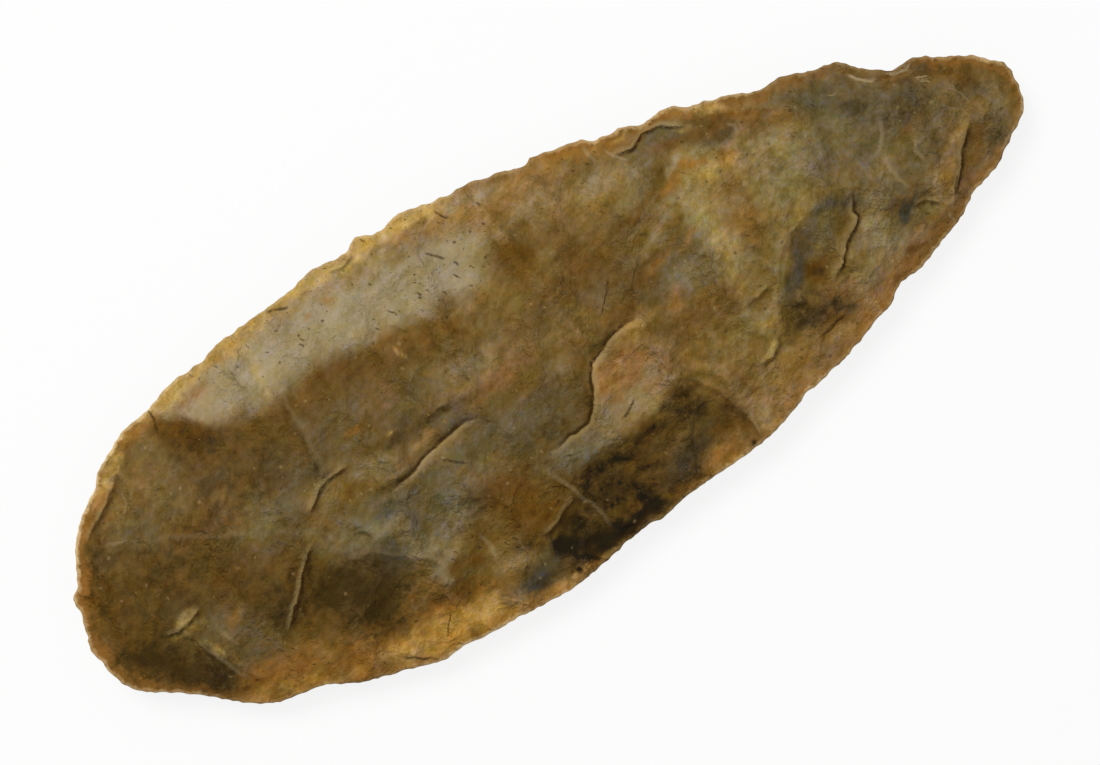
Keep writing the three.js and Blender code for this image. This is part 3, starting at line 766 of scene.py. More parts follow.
# Soft patches of the upper face: x, y, long and wide half sizes, amount, turn, softness
UPPER_STAINS: dict[Mineral, tuple[Row, ...]] = {
    Mineral.BROWN: (
        (-64, 4, 10, 7, 0.7, -10), (-53, 3, 8, 5, 0.55, -15), (-70, -3, 4.5, 5, 0.8), (-45, 9, 9, 5, 0.7),
        (-43, 13.2, 9, 2, 0.8, 0, 0.6), (-27, 12.8, 9, 2, 0.8, -4, 0.6), (-22, 10, 5, 2, 0.65),
        (-33, 8, 3, 4, 0.5), (2.8, 14.5, 3, 3.8, 0.8), (-46, 12, 7, 3, 0.5, -8),
        (24, 14.4, 4, 1.1, 0.6, 40), (-48, -9.5, 5, 4, 0.8, 30), (-58, -3, 9, 3, 0.35), (5, 1, 7, 3, 0.25),
        (16, 4, 7, 5, 0.35, 10), (20, -4, 6, 4, 0.4), (-53, 6, 5, 2, 0.3), (-43, -6, 5, 3, 0.35, 30),
        (64, 3, 7, 3.5, 0.25, -25), (43, 12, 4, 3, 0.35, -20), (-29, -7, 4, 3, 0.3),
        (34.5, 17, 6, 1.6, 0.6, -12), (-49, -15, 6, 2.2, 0.5, -10), (-38, 8, 7, 4, 0.5),
        (-48, 3, 5, 4, 0.3), (-60, -12, 3, 2, 0.4), (9, 7, 6, 3, 0.85, 8), (70, 2, 3, 3, 0.35),
        (-52, 6, 6, 2.6, 0.4), (-41, -22.6, 3, 1.6, 0.4, -20), (20, -1.6, 2, 1.6, 0.5),
        (-36, 2.4, 2.4, 1.4, 0.5), (-59, -9, 4, 3, 0.4),
    ),
    Mineral.KHAKI: (
        (-60, 12.3, 6, 3.5, 0.5, 20), (-54, 7.5, 4, 1.4, 0.35, -5), (-48.5, 7, 1.5, 1, 0.5),
        (-61.2, -4.5, 3.2, 0.9, 0.75, 18, 0.5), (-8, 4.6, 5, 2, 0.65, 8), (-15, 4, 4, 2.4, 0.45),
        (-5, 12.3, 6, 2.2, 0.5), (2, 9, 7, 3, 0.35), (16.5, 16, 7.5, 4.8, 0.6, 20), (7, 20, 5, 3.6, 0.6),
        (-17, -20, 4.5, 3, 0.5), (27, -16.5, 8.5, 4.5, 0.8, -5), (50, -3, 6, 4.5, 0.5),
        (47, -11, 7, 3, 0.55, 20), (60.5, -1.5, 4.5, 2.6, 0.5, 40), (59, -6, 1.8, 3.4, 0.8, -8, 0.5),
        # Painted highlights: the rows at (-37.2, 0.7), (-20, -3.2), (34.4, -3.6) and (12, -2.4) paint the
        # lit risers of steps
        (-37.2, 0.7, 1.8, 0.5, 0.9, 38, 0.5), (-20, -3.2, 5, 0.8, 0.7, 5),
        (34.4, -3.6, 6, 0.9, 0.8, 52, 0.6), (12, -2.4, 3, 1.2, 0.7, 5), (-32, -17.5, 5, 2, 0.6, 28),
        (33.5, 5, 5, 4, 0.45), (-45, 3, 6, 3, 0.4, 20), (21, 21.4, 2.4, 1, 0.5, -20), (-12, 9, 4, 2, 0.3),
        (46, 3, 7, 4, 0.35), (23, -11.5, 6, 2.6, 0.5), (41.5, 16, 3, 1.5, 0.5, -30),
        (42, -7.4, 4, 0.9, 0.7, 40), (-57, -10, 4, 4, 0.3, -60), (69, 1, 3, 2.4, 0.35),
        (33.6, -3, 3, 3, 0.7, 50), (48, -9, 5, 4, 0.6, 40), (65, -3, 6, 2.4, 0.6, 25),
        (4, 3, 7, 3, 0.5, 10), (66, 3, 7, 5, 0.5, -20), (70, -1, 4, 4, 0.6), (22, -3, 7, 4, 0.4),
        (20, 8, 5, 2.4, 0.7, 20), (36.5, -4, 4, 2, 0.45, 50), (30, -8, 4, 3, 0.6),
        (60, 9.4, 3, 1.4, 0.5, -20), (11, -19, 2.4, 2, 0.35),
    ),
    Mineral.PALE: (
        (28.6, 8, 3.2, 2.6, 0.7), (28.8, 3.4, 2.2, 5.5, 0.8, -6), (36.5, 9.4, 7, 4.2, 0.6, -20),
        (44, 7.5, 5, 3.5, 0.3), (27.5, -2, 2.4, 2.6, 0.4), (-27.5, -12.2, 4, 2, 0.6, -20),
        (25.5, -10, 4.5, 2, 0.5, -10), (52, 1, 5, 3, 0.25), (-39, -5.6, 3.4, 2.4, 0.3, -30),
        (8.4, -9.4, 4.5, 2.2, 0.45), (38, 2, 4, 3, 0.35), (-45, 2, 3.4, 2, 0.25, 20), (-34, 0.5, 2, 3, 0.2),
        (-23, -12.6, 3.4, 2.4, 0.5), (47.4, -7, 3, 4, 0.5, -30), (33, -2.6, 1.6, 2.6, 0.4, -30),
        (43, -10.5, 6, 3, 0.5, 15), (52, -10, 5, 2.4, 0.45, 20), (40, 2, 3, 4, 0.35), (29, -8, 3, 2.4, 0.3),
        (32, -6, 1.6, 3, 0.35, -30),
    ),
    Mineral.GREY: (
        (-57.5, -10, 5, 3.6, 0.4, -60), (-42, 2, 6, 3.5, 0.5, 20), (-22, -7.4, 10, 4.4, 0.8, -5),
        (-33, -7.4, 4.5, 3.4, 0.75), (-29, 7.5, 6, 3.5, 0.4), (22, 1.8, 5, 3.4, 0.75, 10),
        (28.6, 18.6, 3, 1.7, 0.85, -18, 0.5), (54, 8.2, 7, 4.4, 0.85, -25), (60, 4.8, 5, 3, 0.5, -20),
        (-3.6, -12.2, 5, 2, 0.8), (1.5, -11.8, 3, 2.2, 0.6), (-5, -6, 6, 3, 0.5), (-14, 0.5, 6, 2.2, 0.35),
        (68.5, -3.6, 3.4, 2, 0.6, -12), (-38, 6, 3, 3, 0.3), (9, 5, 6, 2, 0.25), (39, -5, 5, 2, 0.6, 48),
        (-11, -4.4, 6, 2, 0.5), (-60, 9, 4, 2, 0.3), (47, 4.6, 5, 3.4, 0.7), (54, -1.6, 7, 4, 0.6),
        (45, -10, 5, 3, 0.35, 20), (-52, 10, 8, 4, 0.2), (-18, 6, 5, 2.4, 0.35), (67, 1, 5, 4, 0.4),
        (64, -8, 6, 2, 0.4, 25), (50, 15, 7, 2, 0.35, -15), (24, 17, 5, 2, 0.4, 20),
        (48, 13, 5, 2.4, 0.5, -20), (-24, -11, 4, 3, 0.4),
    ),
    Mineral.TAN: (
        (-45, 22, 8, 2.6, 0.85, 14), (-30, 24.4, 9, 2.2, 0.75, 4), (-22, 25.5, 6, 2.2, 0.7),
        (-9, 25.8, 10, 2.6, 0.8, -4), (2.5, 23, 6, 4, 0.8, -5), (11, 22.6, 6, 2.4, 0.6, -6),
        # The row at (12.6, -1.7) paints the lit riser of the plateau, a painted highlight
        (9, 18.6, 4, 2, 0.35), (-19, -0.6, 7, 0.6, 0.5, 8), (12.6, -1.7, 2.8, 0.9, 0.8, 10),
        (25, -20, 5, 3, 0.7, 12), (18, -10, 4, 5, 0.35), (-15, -8, 3, 1.6, 0.3),
        (-52.6, 21.4, 4, 1.2, 0.8, 12), (15, -23.2, 4, 1.4, 0.75, 3), (37, -18, 6, 1.6, 0.5, 18),
        (45, -12.5, 6, 2.4, 0.45, 20), (6, -10.8, 5, 1.8, 0.5, 10), (31, 21, 3, 0.9, 0.5, -15),
        (-20, -27.4, 8, 1, 0.5), (19, -20.6, 2, 3.4, 0.5, -12), (1, 18.6, 3, 1.6, 0.4),
        (5, -4.2, 2.6, 1, 0.5, 35), (30, -17, 3.4, 2, 0.5), (20, 16, 3.4, 2, 0.45, 20),
        (-8, 5, 3.4, 1.8, 0.4, 8), (58.8, -7, 1.5, 2.6, 0.7, -8), (61.6, -3.6, 4, 1.4, 0.6, 48),
        (-40, 26, 10, 1, 0.6, 6), (-20, 27.6, 10, 1, 0.6),
    ),
    Mineral.MILK: (
        (18, 17.4, 3.6, 1.6, 0.4, 10), (9, 19.4, 3, 1.6, 0.35), (28.6, 13.9, 1.5, 0.6, 0.7, 40),
        (27.2, 12.9, 0.5, 1.4, 0.6), (22.6, 0.6, 2.4, 1.8, 0.35), (18.6, 5.9, 3.2, 0.5, 0.35, 12),
        (21.6, 7.7, 4.4, 0.4, 0.28, 20), (-34, -8, 4, 2.6, 0.3), (-27.4, -16.6, 0.7, 1.4, 0.7, 20),
        (49, 8.4, 3, 1.4, 0.12, 25), (8, -8.2, 4, 2.4, 0.35, 20), (-3, -12.6, 3, 1.2, 0.25),
        (3.4, -8.8, 1.6, 1.4, 0.3, 50), (-10, 5.2, 3.4, 2.2, 0.3), (-20, -12.4, 2.6, 2, 0.4),
        (21.5, 13.4, 4.6, 1.6, 0.4, 42), (45, -11.6, 3, 1.6, 0.35, 20), (-28, -11, 1.4, 3.6, 0.4, 20),
        (4, -11, 4, 1.4, 0.35), (49, -4, 2, 1.6, 0.3), (32, 6, 1.4, 2, 0.3),
        (43.5, -12, 3.4, 1.8, 0.35, 20), (20.4, -21, 1.6, 2.6, 0.35), (6.4, -9.4, 4.4, 2.2, 0.35, 10),
        (-25, 18.4, 6, 2.4, 0.8, 4), (-8, 17.4, 6, 3, 0.8, -10), (-37, 18.6, 5, 2.4, 0.6),
        (-54, 22, 5, 1, 0.5, 20), (-15, 27, 12, 1.2, 0.35), (0, 25.5, 6, 1.6, 0.4, -8),
        (-46.6, 17.4, 1.6, 1.4, 0.5, -30), (11, -7, 4, 2.4, 0.35, 20), (0.5, -2, 2, 1.2, 0.3),
        (-28, 0.6, 3, 1.4, 0.35), (-25, -14.6, 2.4, 1.4, 0.35), (-17, -21, 3, 1.4, 0.4, -10),
    ),
    Mineral.ROSE: (
        (-6, 2, 4.5, 1.1, 0.55, -4), (8.4, -5.4, 3.6, 2, 0.85, 15), (11, -7.4, 3.4, 3, 0.45),
        (44, -14.5, 4.4, 2, 0.7, 20), (42, -16.6, 4.4, 1.3, 0.85, 20), (38, -12.4, 4, 1.5, 0.6, -10),
        (52, -12.4, 4.4, 1.3, 0.45, 20), (60, -9.6, 4.6, 1.3, 0.35, 22), (60, -6.6, 1.6, 2.6, 0.3),
        (36, -15.4, 3, 1.4, 0.5), (-45.5, 21.2, 3, 1.4, 0.6), (-44, 24, 3, 0.8, 0.3, 5),
        (6, -6.4, 3, 2, 0.4, 60), (19, -0.6, 2, 2, 0.3), (-23, 8, 3, 2, 0.25), (56, 1.6, 3, 1, 0.25, 40),
        (-52, 4.6, 4, 1.4, 0.2),
    ),
    Mineral.OCHRE: (
        (-53, -18.6, 8, 2.4, 0.9, -10), (-45, -22.2, 5.5, 2.2, 0.8, -22), (-57, -17.6, 3, 1.4, 0.7, -28),
        (-40, -21.6, 4, 2.6, 0.5), (-38.4, 24.2, 2.6, 1.2, 0.6), (-57, 19.7, 3.4, 1, 0.7, 14),
        (-29, 24.3, 2.2, 1.1, 0.5, -10), (-22.2, 23.2, 1.1, 0.8, 0.6), (-26, 21.7, 0.9, 0.5, 0.5),
        (-10.8, 26.4, 1.1, 1.2, 0.7), (-3, 24.8, 1, 1, 0.6, 40), (-28, -21.4, 7.5, 1.8, 0.75),
        (-22, -24, 5, 2.2, 0.55), (17.5, 22.9, 4.2, 1.5, 0.9, -14), (23.4, 20.7, 4, 1, 0.5, -10),
        (32, 20.7, 2, 0.9, 0.6, -25), (37.6, 17.9, 4.6, 1.1, 0.4, -26), (35, 11, 1.9, 1, 0.9, 40),
        (28, 12.1, 2.6, 1, 0.9, 12), (31.6, 11.9, 2, 0.6, 0.6), (33.4, 8.4, 3, 2.2, 0.35, 30),
        (20, 4.6, 4.2, 0.5, 0.35, 17), (19, -1.6, 1.4, 1.4, 0.4), (42, 13.4, 4, 2, 0.25, -25),
        (47, 16, 4.6, 0.8, 0.2, -10), (53, 14, 3, 0.9, 0.2, -10), (63.6, -7, 3.4, 1.8, 0.2, 25),
        (14.6, -23.6, 3.6, 1, 0.7, 3), (-33, -18.5, 4, 1.2, 0.5, 20), (-56.4, -8, 1.4, 0.8, 0.4),
        (-70.4, -8.4, 1.6, 3, 0.7, 40), (-66, 14, 4.4, 0.9, 0.8, 42), (-71.6, 6, 1.2, 4, 0.6, -15),
        (-13.6, -14.8, 3, 2, 0.35, -10), (33, 2.6, 2.4, 1.8, 0.35), (-48, 6.8, 0.8, 0.6, 0.5),
        (-28, 6.9, 1.2, 0.4, 0.6, 8), (-18, 13.4, 4.4, 1.2, 0.2, 8), (24.8, 4.4, 2, 0.6, 0.3, 25),
        (66, -7.6, 4, 0.8, 0.5, 25), (50, -14.6, 5, 0.7, 0.35, 20), (16, -10.6, 2, 1.6, 0.3),
        (36, 15, 2.4, 1, 0.3, -10),
    ),
    Mineral.HONEY: (
        (-29, -25, 8, 2.4, 0.95, -4), (-36.5, -24.4, 4.4, 1.4, 0.85, -22), (-23.5, -26.6, 5, 1.3, 0.7, -2),
        (-34, -26.6, 4, 1.2, 0.7, -6), (-14, -27.9, 5, 0.8, 0.7, 4), (-7.5, -27.2, 4, 0.7, 0.5, 10),
        (33.6, 10.4, 2.4, 1, 0.4), (-55, 20.9, 3, 0.7, 0.6, 12), (-64, 17, 3.4, 0.8, 0.7, 38),
        (-27.5, -23.6, 5, 0.9, 0.4, 3), (14.6, -24.4, 3.4, 0.6, 0.5, 2), (28, -11, 1.6, 0.9, 0.25),
        (8, -5, 3, 1.8, 0.25, 15), (43, -15.8, 3.6, 1.2, 0.35, 20), (-52, -21, 6, 1, 0.5, -14),
    ),
    Mineral.UMBER: (
        (-50.6, 18.5, 4.8, 1.5, 0.95, -38, 0.6), (-12, 12.4, 3.6, 1.5, 0.65, 12),
        (2.6, 14.8, 2.4, 3.2, 0.5), (-13.6, -14.6, 6.2, 3.6, 0.7, -12), (-23, -16.8, 2.8, 0.8, 0.65),
        (-26.4, -19.6, 3.6, 1.1, 0.55, -5), (-21.4, -24.6, 1, 1.4, 0.45), (19.5, 10.9, 5, 1, 0.5, 14),
        (12.6, 10.6, 4, 1, 0.35), (28.2, 20.35, 2.6, 0.4, 0.9, 2, 0.5), (32, 16.3, 4.4, 0.8, 0.6, -6),
        (38.6, 17.2, 4, 0.7, 0.7, -28), (36.4, -8.8, 2.2, 1.8, 0.95, -30, 0.6),
        (17.4, -21, 1.7, 2.4, 0.65, 20), (36, -16.1, 2, 0.8, 0.75, -12), (47.4, -14.8, 1.1, 0.6, 0.7),
        (50.6, -13, 1.7, 0.6, 0.6), (65.4, -3.2, 1.7, 2.6, 0.7, -40), (61.5, 8.4, 3.2, 1.4, 0.55, -10),
        (-6, 26.2, 1.4, 1.3, 0.85), (-41, 24.2, 2.4, 0.5, 0.5), (-25, 25.4, 1.4, 0.6, 0.4, 20),
        (-58, -17.2, 1.7, 0.6, 0.6, -20), (18, 23.2, 1.4, 0.7, 0.6, -20), (-71, 4, 1.6, 4, 0.4, -4),
        (66.5, 6.6, 3.6, 1.4, 0.75, -35), (-9, 25.6, 1, 0.8, 0.4), (26, 20, 2, 0.4, 0.6, 15),
        (-62.6, 16.2, 3.4, 0.7, 0.5, 40), (-36, -19.8, 2.6, 0.8, 0.45), (4.8, -24.9, 3.4, 0.6, 0.5, 6),
        (43.5, -6.4, 2.4, 0.7, 0.4, 38), (-8.6, -17.2, 3, 1.4, 0.4, 20), (3, 12, 2.4, 3.4, 0.4, 10),
        (-48, 15.4, 3.4, 1.2, 0.6, -20), (-69.5, -6.5, 2, 3, 0.4, -35), (-69, 1, 2.2, 5, 0.6),
        (-40, 5.4, 4, 1.2, 0.5, 30), (-14, -10.8, 3, 1.4, 0.5), (10, 7, 4, 2, 0.4, 8),
    ),
    Mineral.SLATE: (
        (-29, -6.3, 1.7, 1, 0.6), (-31.6, -11.4, 3.4, 2.2, 0.75), (-17.6, -24.6, 3.6, 1.9, 0.9),
        # Painted shade: the rows at (35.6, -6), (38.4, -3) and (33, -8.4) paint the shaded side of the long
        # soft ridge
        (-13, -23, 3, 2.2, 0.65), (35.6, -6, 3.4, 1.1, 0.75, 45), (38.4, -3, 2, 1, 0.6, 40),
        (33, -8.4, 1.7, 1.1, 0.5, 40), (52.4, -6.9, 1.4, 1.1, 0.95, 45, 0.6), (51.3, -8.3, 1.3, 0.7, 0.8),
        (54, -6.1, 1.5, 0.4, 0.75, 30), (44.4, -1.6, 2.6, 1.2, 0.85, -25), (41.2, -0.9, 2, 0.9, 0.6, 10),
        (69, -4.6, 2, 1.2, 0.4, -10), (-23, 2.4, 2.6, 1, 0.5, 5), (-14.6, -0.3, 2.6, 1, 0.5, 8),
        (9, -21.6, 3, 1.6, 0.7, 10), (11.2, -20.8, 1.3, 1, 0.6), (-9.6, -20.8, 1.2, 0.8, 0.3),
        (21, -1, 1.2, 1, 0.3), (33, -14, 2, 0.8, 0.4), (37, -2.6, 2, 0.6, 0.4, 40),
        (64, 8.6, 3, 1, 0.4, -30),
    ),
    Mineral.SHADE: (
        (-68.6, -7, 4.4, 2.6, 0.7, -35), (-65.6, -11, 5.4, 4, 0.9, -40),
        (-61.6, -13.6, 3.8, 2.6, 0.75, -35), (-67, -5, 5, 2.2, 0.5, -5), (-47, 14.2, 4.4, 1.5, 0.6, -12),
        (-44, 8, 8, 4, 0.35), (-60, 2, 12, 7, 0.3, -10), (-50, -8, 3.4, 2.6, 0.4), (58, 4, 4, 2, 0.25),
        (-40.6, -12, 7, 3.6, 0.95, -14), (-37, -17.4, 4, 3, 0.85), (-49.2, -11, 2.8, 1.2, 0.6, 50),
        (-68.6, 8, 4.6, 1.8, 0.35, 60), (-17.6, 26.9, 1.3, 0.5, 0.85, 0, 0.6), (-23, 2.2, 2.2, 0.8, 0.7, 5),
        # The row at (-33, 2.1) is painted shade on the riser of the small step near (-35, 1)
        (-15.6, 1.5, 3.2, 0.5, 0.6, 8), (-35.6, 3.4, 1.5, 1.7, 0.35), (-33, 2.1, 2, 0.5, 0.4, -5),
        (-17.4, -11.6, 2.6, 1.3, 0.5), (-13, -19.2, 4, 1, 0.6), (-5.6, -8.2, 5, 1.4, 0.4),
        (35.4, 14.6, 2.4, 1.3, 0.35, -10), (38.2, 14.8, 1.1, 1, 0.25), (33, -12.4, 2.8, 2.2, 0.65),
        (35.6, -14, 3.2, 1.2, 0.65), (56, 7.4, 6, 2.4, 0.2, -25), (36.4, -8.6, 1.4, 1, 0.5, -30),
        (-34, -14.5, 3, 1.6, 0.7, -30), (13.4, -14.6, 3, 2.6, 0.55, -20), (-26, -2.6, 3, 0.5, 0.5, 12),
        (2, -6.6, 1.2, 2.4, 0.45, -35), (7, -1, 3.4, 0.6, 0.4, 20), (69.4, 3, 1.6, 1.4, 0.3),
        (-64, -14, 3, 1.2, 0.6, -40), (-9.5, -19, 2.4, 1.6, 0.5), (55, 8, 3, 1.4, 0.25, -25),
        (-50, 17, 2.4, 1, 0.5, -38), (-48, -10, 3, 2, 0.3, 30), (-15, -26, 3, 1, 0.4),
    ),
    Mineral.SOOT: (
        (-10.6, -22.3, 1.7, 2.2, 1, 20, 0.5), (-8, -24, 3.4, 1.6, 0.9, -10),
        (-7.4, -20.6, 2.2, 1, 0.6, 40), (-1.6, -25.6, 4.6, 0.7, 0.95, 6, 0.5), (-4.6, -16.6, 2.2, 1.1, 0.5),
        (0, -16.4, 3, 1.2, 0.58, -8), (2.8, -17, 1.4, 0.8, 0.7), (1.6, -23.4, 1.6, 1.3, 0.85),
        (6.4, -15.4, 1.6, 0.7, 0.7, 10), (-2.4, -20.2, 2.4, 1.6, 0.8), (-0.6, -22, 1.6, 1, 0.5, 30),
        (-5.4, -24.8, 3, 1.2, 0.8), (1.6, -25, 3.4, 1, 0.8, 5), (-6, -26.4, 5, 1.2, 0.95, 6),
        (2, -26, 5, 1, 0.85, 5), (13, -14.4, 2.2, 1.8, 0.2), (8.4, -23.4, 2.4, 0.8, 0.4, 5),
        (17.7, -24.3, 0.5, 0.4, 0.9), (4.2, -20.4, 1.4, 0.8, 0.35), (52.6, -6.8, 0.6, 0.5, 0.5, 40),
        (36.6, -16.2, 0.7, 0.5, 0.6),
    ),
    Mineral.CREAM: (
        (32, 10.2, 2.6, 1, 0.6), (29, 1.4, 1.2, 2.6, 0.35, -5), (-23.8, 3.4, 0.5, 0.3, 0.7),
        (31.8, 18.2, 0.9, 0.5, 0.5), (24, 21.3, 1, 0.3, 0.6, 30), (-35, 20, 0.6, 4, 0.25, -8),
        (-59.4, -11.6, 0.5, 3, 0.25, 24), (26.6, -14.4, 1.4, 0.5, 0.4, 20), (36.5, 19, 4, 0.8, 0.7, -26),
        (-38, 25.4, 7, 0.8, 0.6, 6), (-25, 26.8, 7, 0.7, 0.5, 2), (-12, 27, 3, 1, 0.5, -5),
        (-46, 23.8, 5, 0.8, 0.6, 12), (-3, 26.4, 3, 0.9, 0.4, -8), (-60, 19.2, 5, 1.2, 0.75, 30),
        (-61.6, -4.7, 2.8, 0.8, 0.4, 18), (58.5, -6.8, 1.2, 2.3, 0.25, -8), (61.8, -3.2, 3.6, 1, 0.2, 48),
        (-50, 22.4, 5, 1.2, 0.75, 14), (-34, 24.7, 7, 1.4, 0.5, 5), (-20, 27, 8, 1.1, 0.75),
        (-8, 26.8, 6, 1.3, 0.75, -4), (-17, 11, 1.6, 0.3, 0.4, -60), (21, -22.6, 2, 1.4, 0.3),
    ),
}

# The border of the broad scar in the middle of the lower edge
MIDDLE_SCAR: tuple[Point, ...] = (
    (-6.6, -15.8), (-2, -14.4), (1, -14.8), (4.6, -14.1), (8.2, -13), (9.7, -15), (10.6, -18),
    (10.8, -22), (10.6, -24.8), (4, -25.7), (-3, -26.2), (-4.6, -23.8), (-5.4, -20),
)

# Patches of the upper face with a drawn border: the grey window, the dark scars, the plateau
UPPER_ZONES: dict[Mineral, tuple[Zone, ...]] = {
    Mineral.BROWN: (
        Zone(MIDDLE_SCAR, 0.8, 0.5),
        Zone(((8.6, -13), (11.4, -11.2), (14.6, -11.6), (17, -14.6), (18.6, -18), (19.2, -23),
              (14, -22.4), (10.9, -22.6), (10.4, -17)), 0.7, 0.5),
    ),
    Mineral.KHAKI: (
        Zone(((13.6, -1.2), (8, -1.7), (4.8, -3.1), (3.4, -6), (1.6, -8.6), (-0.4, -10.2), (-5, -10.8),
              (2, -12.6), (9, -12.2), (13.4, -10.8), (14.6, -6.4)), 0.75, 0.8),
    ),
    Mineral.MILK: (
        Zone(((-50.6, 22.6), (-50.2, 20.2), (-48.2, 18.4), (-46.6, 16.6), (-42, 15.8), (-35, 15.4),
              (-31, 15.8), (-26, 16.5), (-21, 16.2), (-17, 16.2), (-14.6, 16.2), (-11.6, 14.6),
              (-7, 13.6), (-3, 14), (-0.8, 16), (0, 19), (-3, 21.4), (-8, 22.4), (-13, 23.8),
              (-20, 25.2), (-30, 25), (-40, 24), (-47, 23.4)), 0.92, 2.4),
    ),
    Mineral.SHADE: (
        Zone(((-12.4, -22.4), (-11.2, -20.4), (-9, -19), (-6.6, -17.6), (-6, -20), (-5, -23),
              (-4.3, -24.6), (-3, -26.2), (-7, -26.4), (-10.6, -24.8)), 0.8, 0.4),
        Zone(MIDDLE_SCAR, 0.3, 0.5),
        Zone(((8.6, -13), (11.4, -11.2), (14.6, -11.6), (17, -14.6), (18.6, -18), (19.2, -22),
              (14, -21.4), (10.9, -21.6), (10.4, -17)), 0.18, 0.5),
    ),
}

# The underside, which no picture shows, has patches and lines in the same form and colours
UNDER_STAINS: dict[Mineral, tuple[Row, ...]] = {
    Mineral.BROWN: (
        (-60, 3, 12, 8, 0.7, 8), (-34, -4, 9, 5, 0.5, 12), (-6, 4, 10, 5, 0.55, -10),
        (22, 7, 9, 5, 0.5, 15), (50, -2, 9, 5, 0.6, -8), (8, -12, 7, 4, 0.4), (-44, 13, 8, 3, 0.6, -6),
        (66, 2, 6, 4, 0.5),
    ),
    Mineral.KHAKI: (
        (-50, -9, 7, 4, 0.6, 12), (-20, -12, 9, 4, 0.6, -6), (0, 13, 9, 4, 0.5, 4), (30, -8, 8, 5, 0.7, 10),
        (44, 8, 7, 4, 0.6, -20), (14, 0, 6, 3, 0.4), (-70, -4, 4, 4, 0.4), (60, -5, 5, 2.6, 0.5, 20),
    ),
    Mineral.PALE: (
        (31, 3, 4, 6, 0.6, -12), (38, -3, 5, 3, 0.4, 10), (-12, -5, 5, 3, 0.35, 20), (-56, -2, 4, 2, 0.3),
    ),
    Mineral.GREY: (
        (-26, 2, 9, 4, 0.7, 8), (12, 9, 6, 4, 0.5), (54, 5, 7, 4, 0.7, -22), (-46, 4, 6, 4, 0.4),
        (2, -6, 7, 3, 0.6, -8), (68, -2, 4, 2, 0.5),
    ),
    Mineral.TAN: (
        (-40, 22, 9, 2.6, 0.8, 10), (-12, 25, 12, 2.6, 0.8), (12, 22.6, 8, 2.4, 0.7, -8),
        (28, -17, 8, 3, 0.7, 14), (-24, -26, 10, 1.8, 0.6, -2), (46, -11, 7, 2.4, 0.5, 20),
    ),
    Mineral.MILK: (
        (16, 15, 5, 2.4, 0.4, 10), (-30, -8, 5, 2.6, 0.3), (24, 1, 3, 2, 0.3), (-4, -1, 4, 1.4, 0.3, 12),
    ),
    Mineral.ROSE: (
        (40, -14, 6, 2, 0.7, 20), (-10, -2, 6, 1.6, 0.4, -6), (58, -8, 5, 1.6, 0.5, 22),
        (-46, 20, 4, 2, 0.4),
    ),
    Mineral.OCHRE: (
        (-50, -18, 9, 3, 0.8, -12), (-30, -22, 9, 2.4, 0.7), (18, 21, 6, 2, 0.8, -12),
        (42, 13, 6, 2, 0.6, -24), (34, 9, 3, 1.6, 0.7, 30), (-58, 17, 5, 1.6, 0.6, 24),
        (10, -23, 6, 1.4, 0.6, 2), (64, -5, 4, 2, 0.5, 25),
    ),
    Mineral.HONEY: (
        (-32, -24.6, 9, 2.2, 0.8, -6), (-8, -27, 8, 1, 0.6, 4), (32, 18, 4, 1.2, 0.5, -20),
    ),
    Mineral.UMBER: (
        (-50, 17, 5, 1.6, 0.7, -20), (-8, 12, 6, 2, 0.55, 8), (-16, -16, 6, 3, 0.7, -10), (6, 3, 3, 3, 0.4),
        (48, -8, 4, 2, 0.5, 20), (-66, 8, 3, 4, 0.4, 30), (30, 14, 5, 1.2, 0.5, -14),
    ),
    Mineral.SLATE: (
        (-18, -23, 5, 2.4, 0.7), (40, 0, 4, 1.6, 0.6, 30), (-34, -12, 4, 2.4, 0.6), (56, -3, 1.6, 1.2, 0.8),
    ),
    Mineral.SHADE: (
        (-66, -8, 7, 5, 0.85, -38), (-42, -11, 8, 3.4, 0.8, -12), (-60, 10, 5, 2.4, 0.4, 30),
        (4, -18, 9, 4, 0.7), (36, -12, 5, 2.2, 0.5, 10), (-46, 15, 5, 1.6, 0.6, -8), (20, 3, 4, 1.6, 0.3),
        (62, 6, 5, 2, 0.4, -24),
    ),
    Mineral.SOOT: (
        (-3, -24.8, 8, 3, 0.95, 5), (6, -19, 4, 2, 0.6), (-10, -19, 2, 1.6, 0.6, 30),
        (34, -15, 1.4, 0.8, 0.6),
    ),
    Mineral.CREAM: (
        (30, 6, 3, 1, 0.5, 10), (-28, 17, 5, 1.4, 0.4), (-36, 20, 1, 4, 0.3, -6),
    ),
}

UNDER_ZONES: dict[Mineral, tuple[Zone, ...]] = {
    Mineral.MILK: (
        Zone(((-48, 24), (-46, 19), (-38, 16.4), (-28, 17.2), (-20, 15.4), (-10, 16.6), (-2, 15.4),
              (2, 19), (1, 29), (-30, 30)), 0.85, 1.6),
    ),
}

UNDER_CRACKS: tuple[tuple[Line, float], ...] = tuple(
    (Line(points), width)
    for points, width in (
        (((-30.6, 6.2), (-26.8, 4.7), (-22.6, 5.1), (-19, 7.2)), 0.24),
        (((12, -3.9), (16.2, -4.2), (19.4, -6)), 0.22),
        (((-52, 8), (-50.2, 6), (-47.6, 5.2)), 0.18),
        (((34.4, 10.2), (36.2, 8.4), (37.4, 7.8)), 0.18),
    )
)

UNDER_VEINS: tuple[tuple[Line, float, float], ...] = (
    (Line(((-60, -4), (-50, -3.2), (-40, 0), (-30, 1))), 0.5, 0.4),
    (Line(((0, 1), (12, 3.2), (26, 2))), 0.45, 0.4),
    (Line(((36, -6), (44, -3), (52, -3.4))), 0.45, 0.4),
)
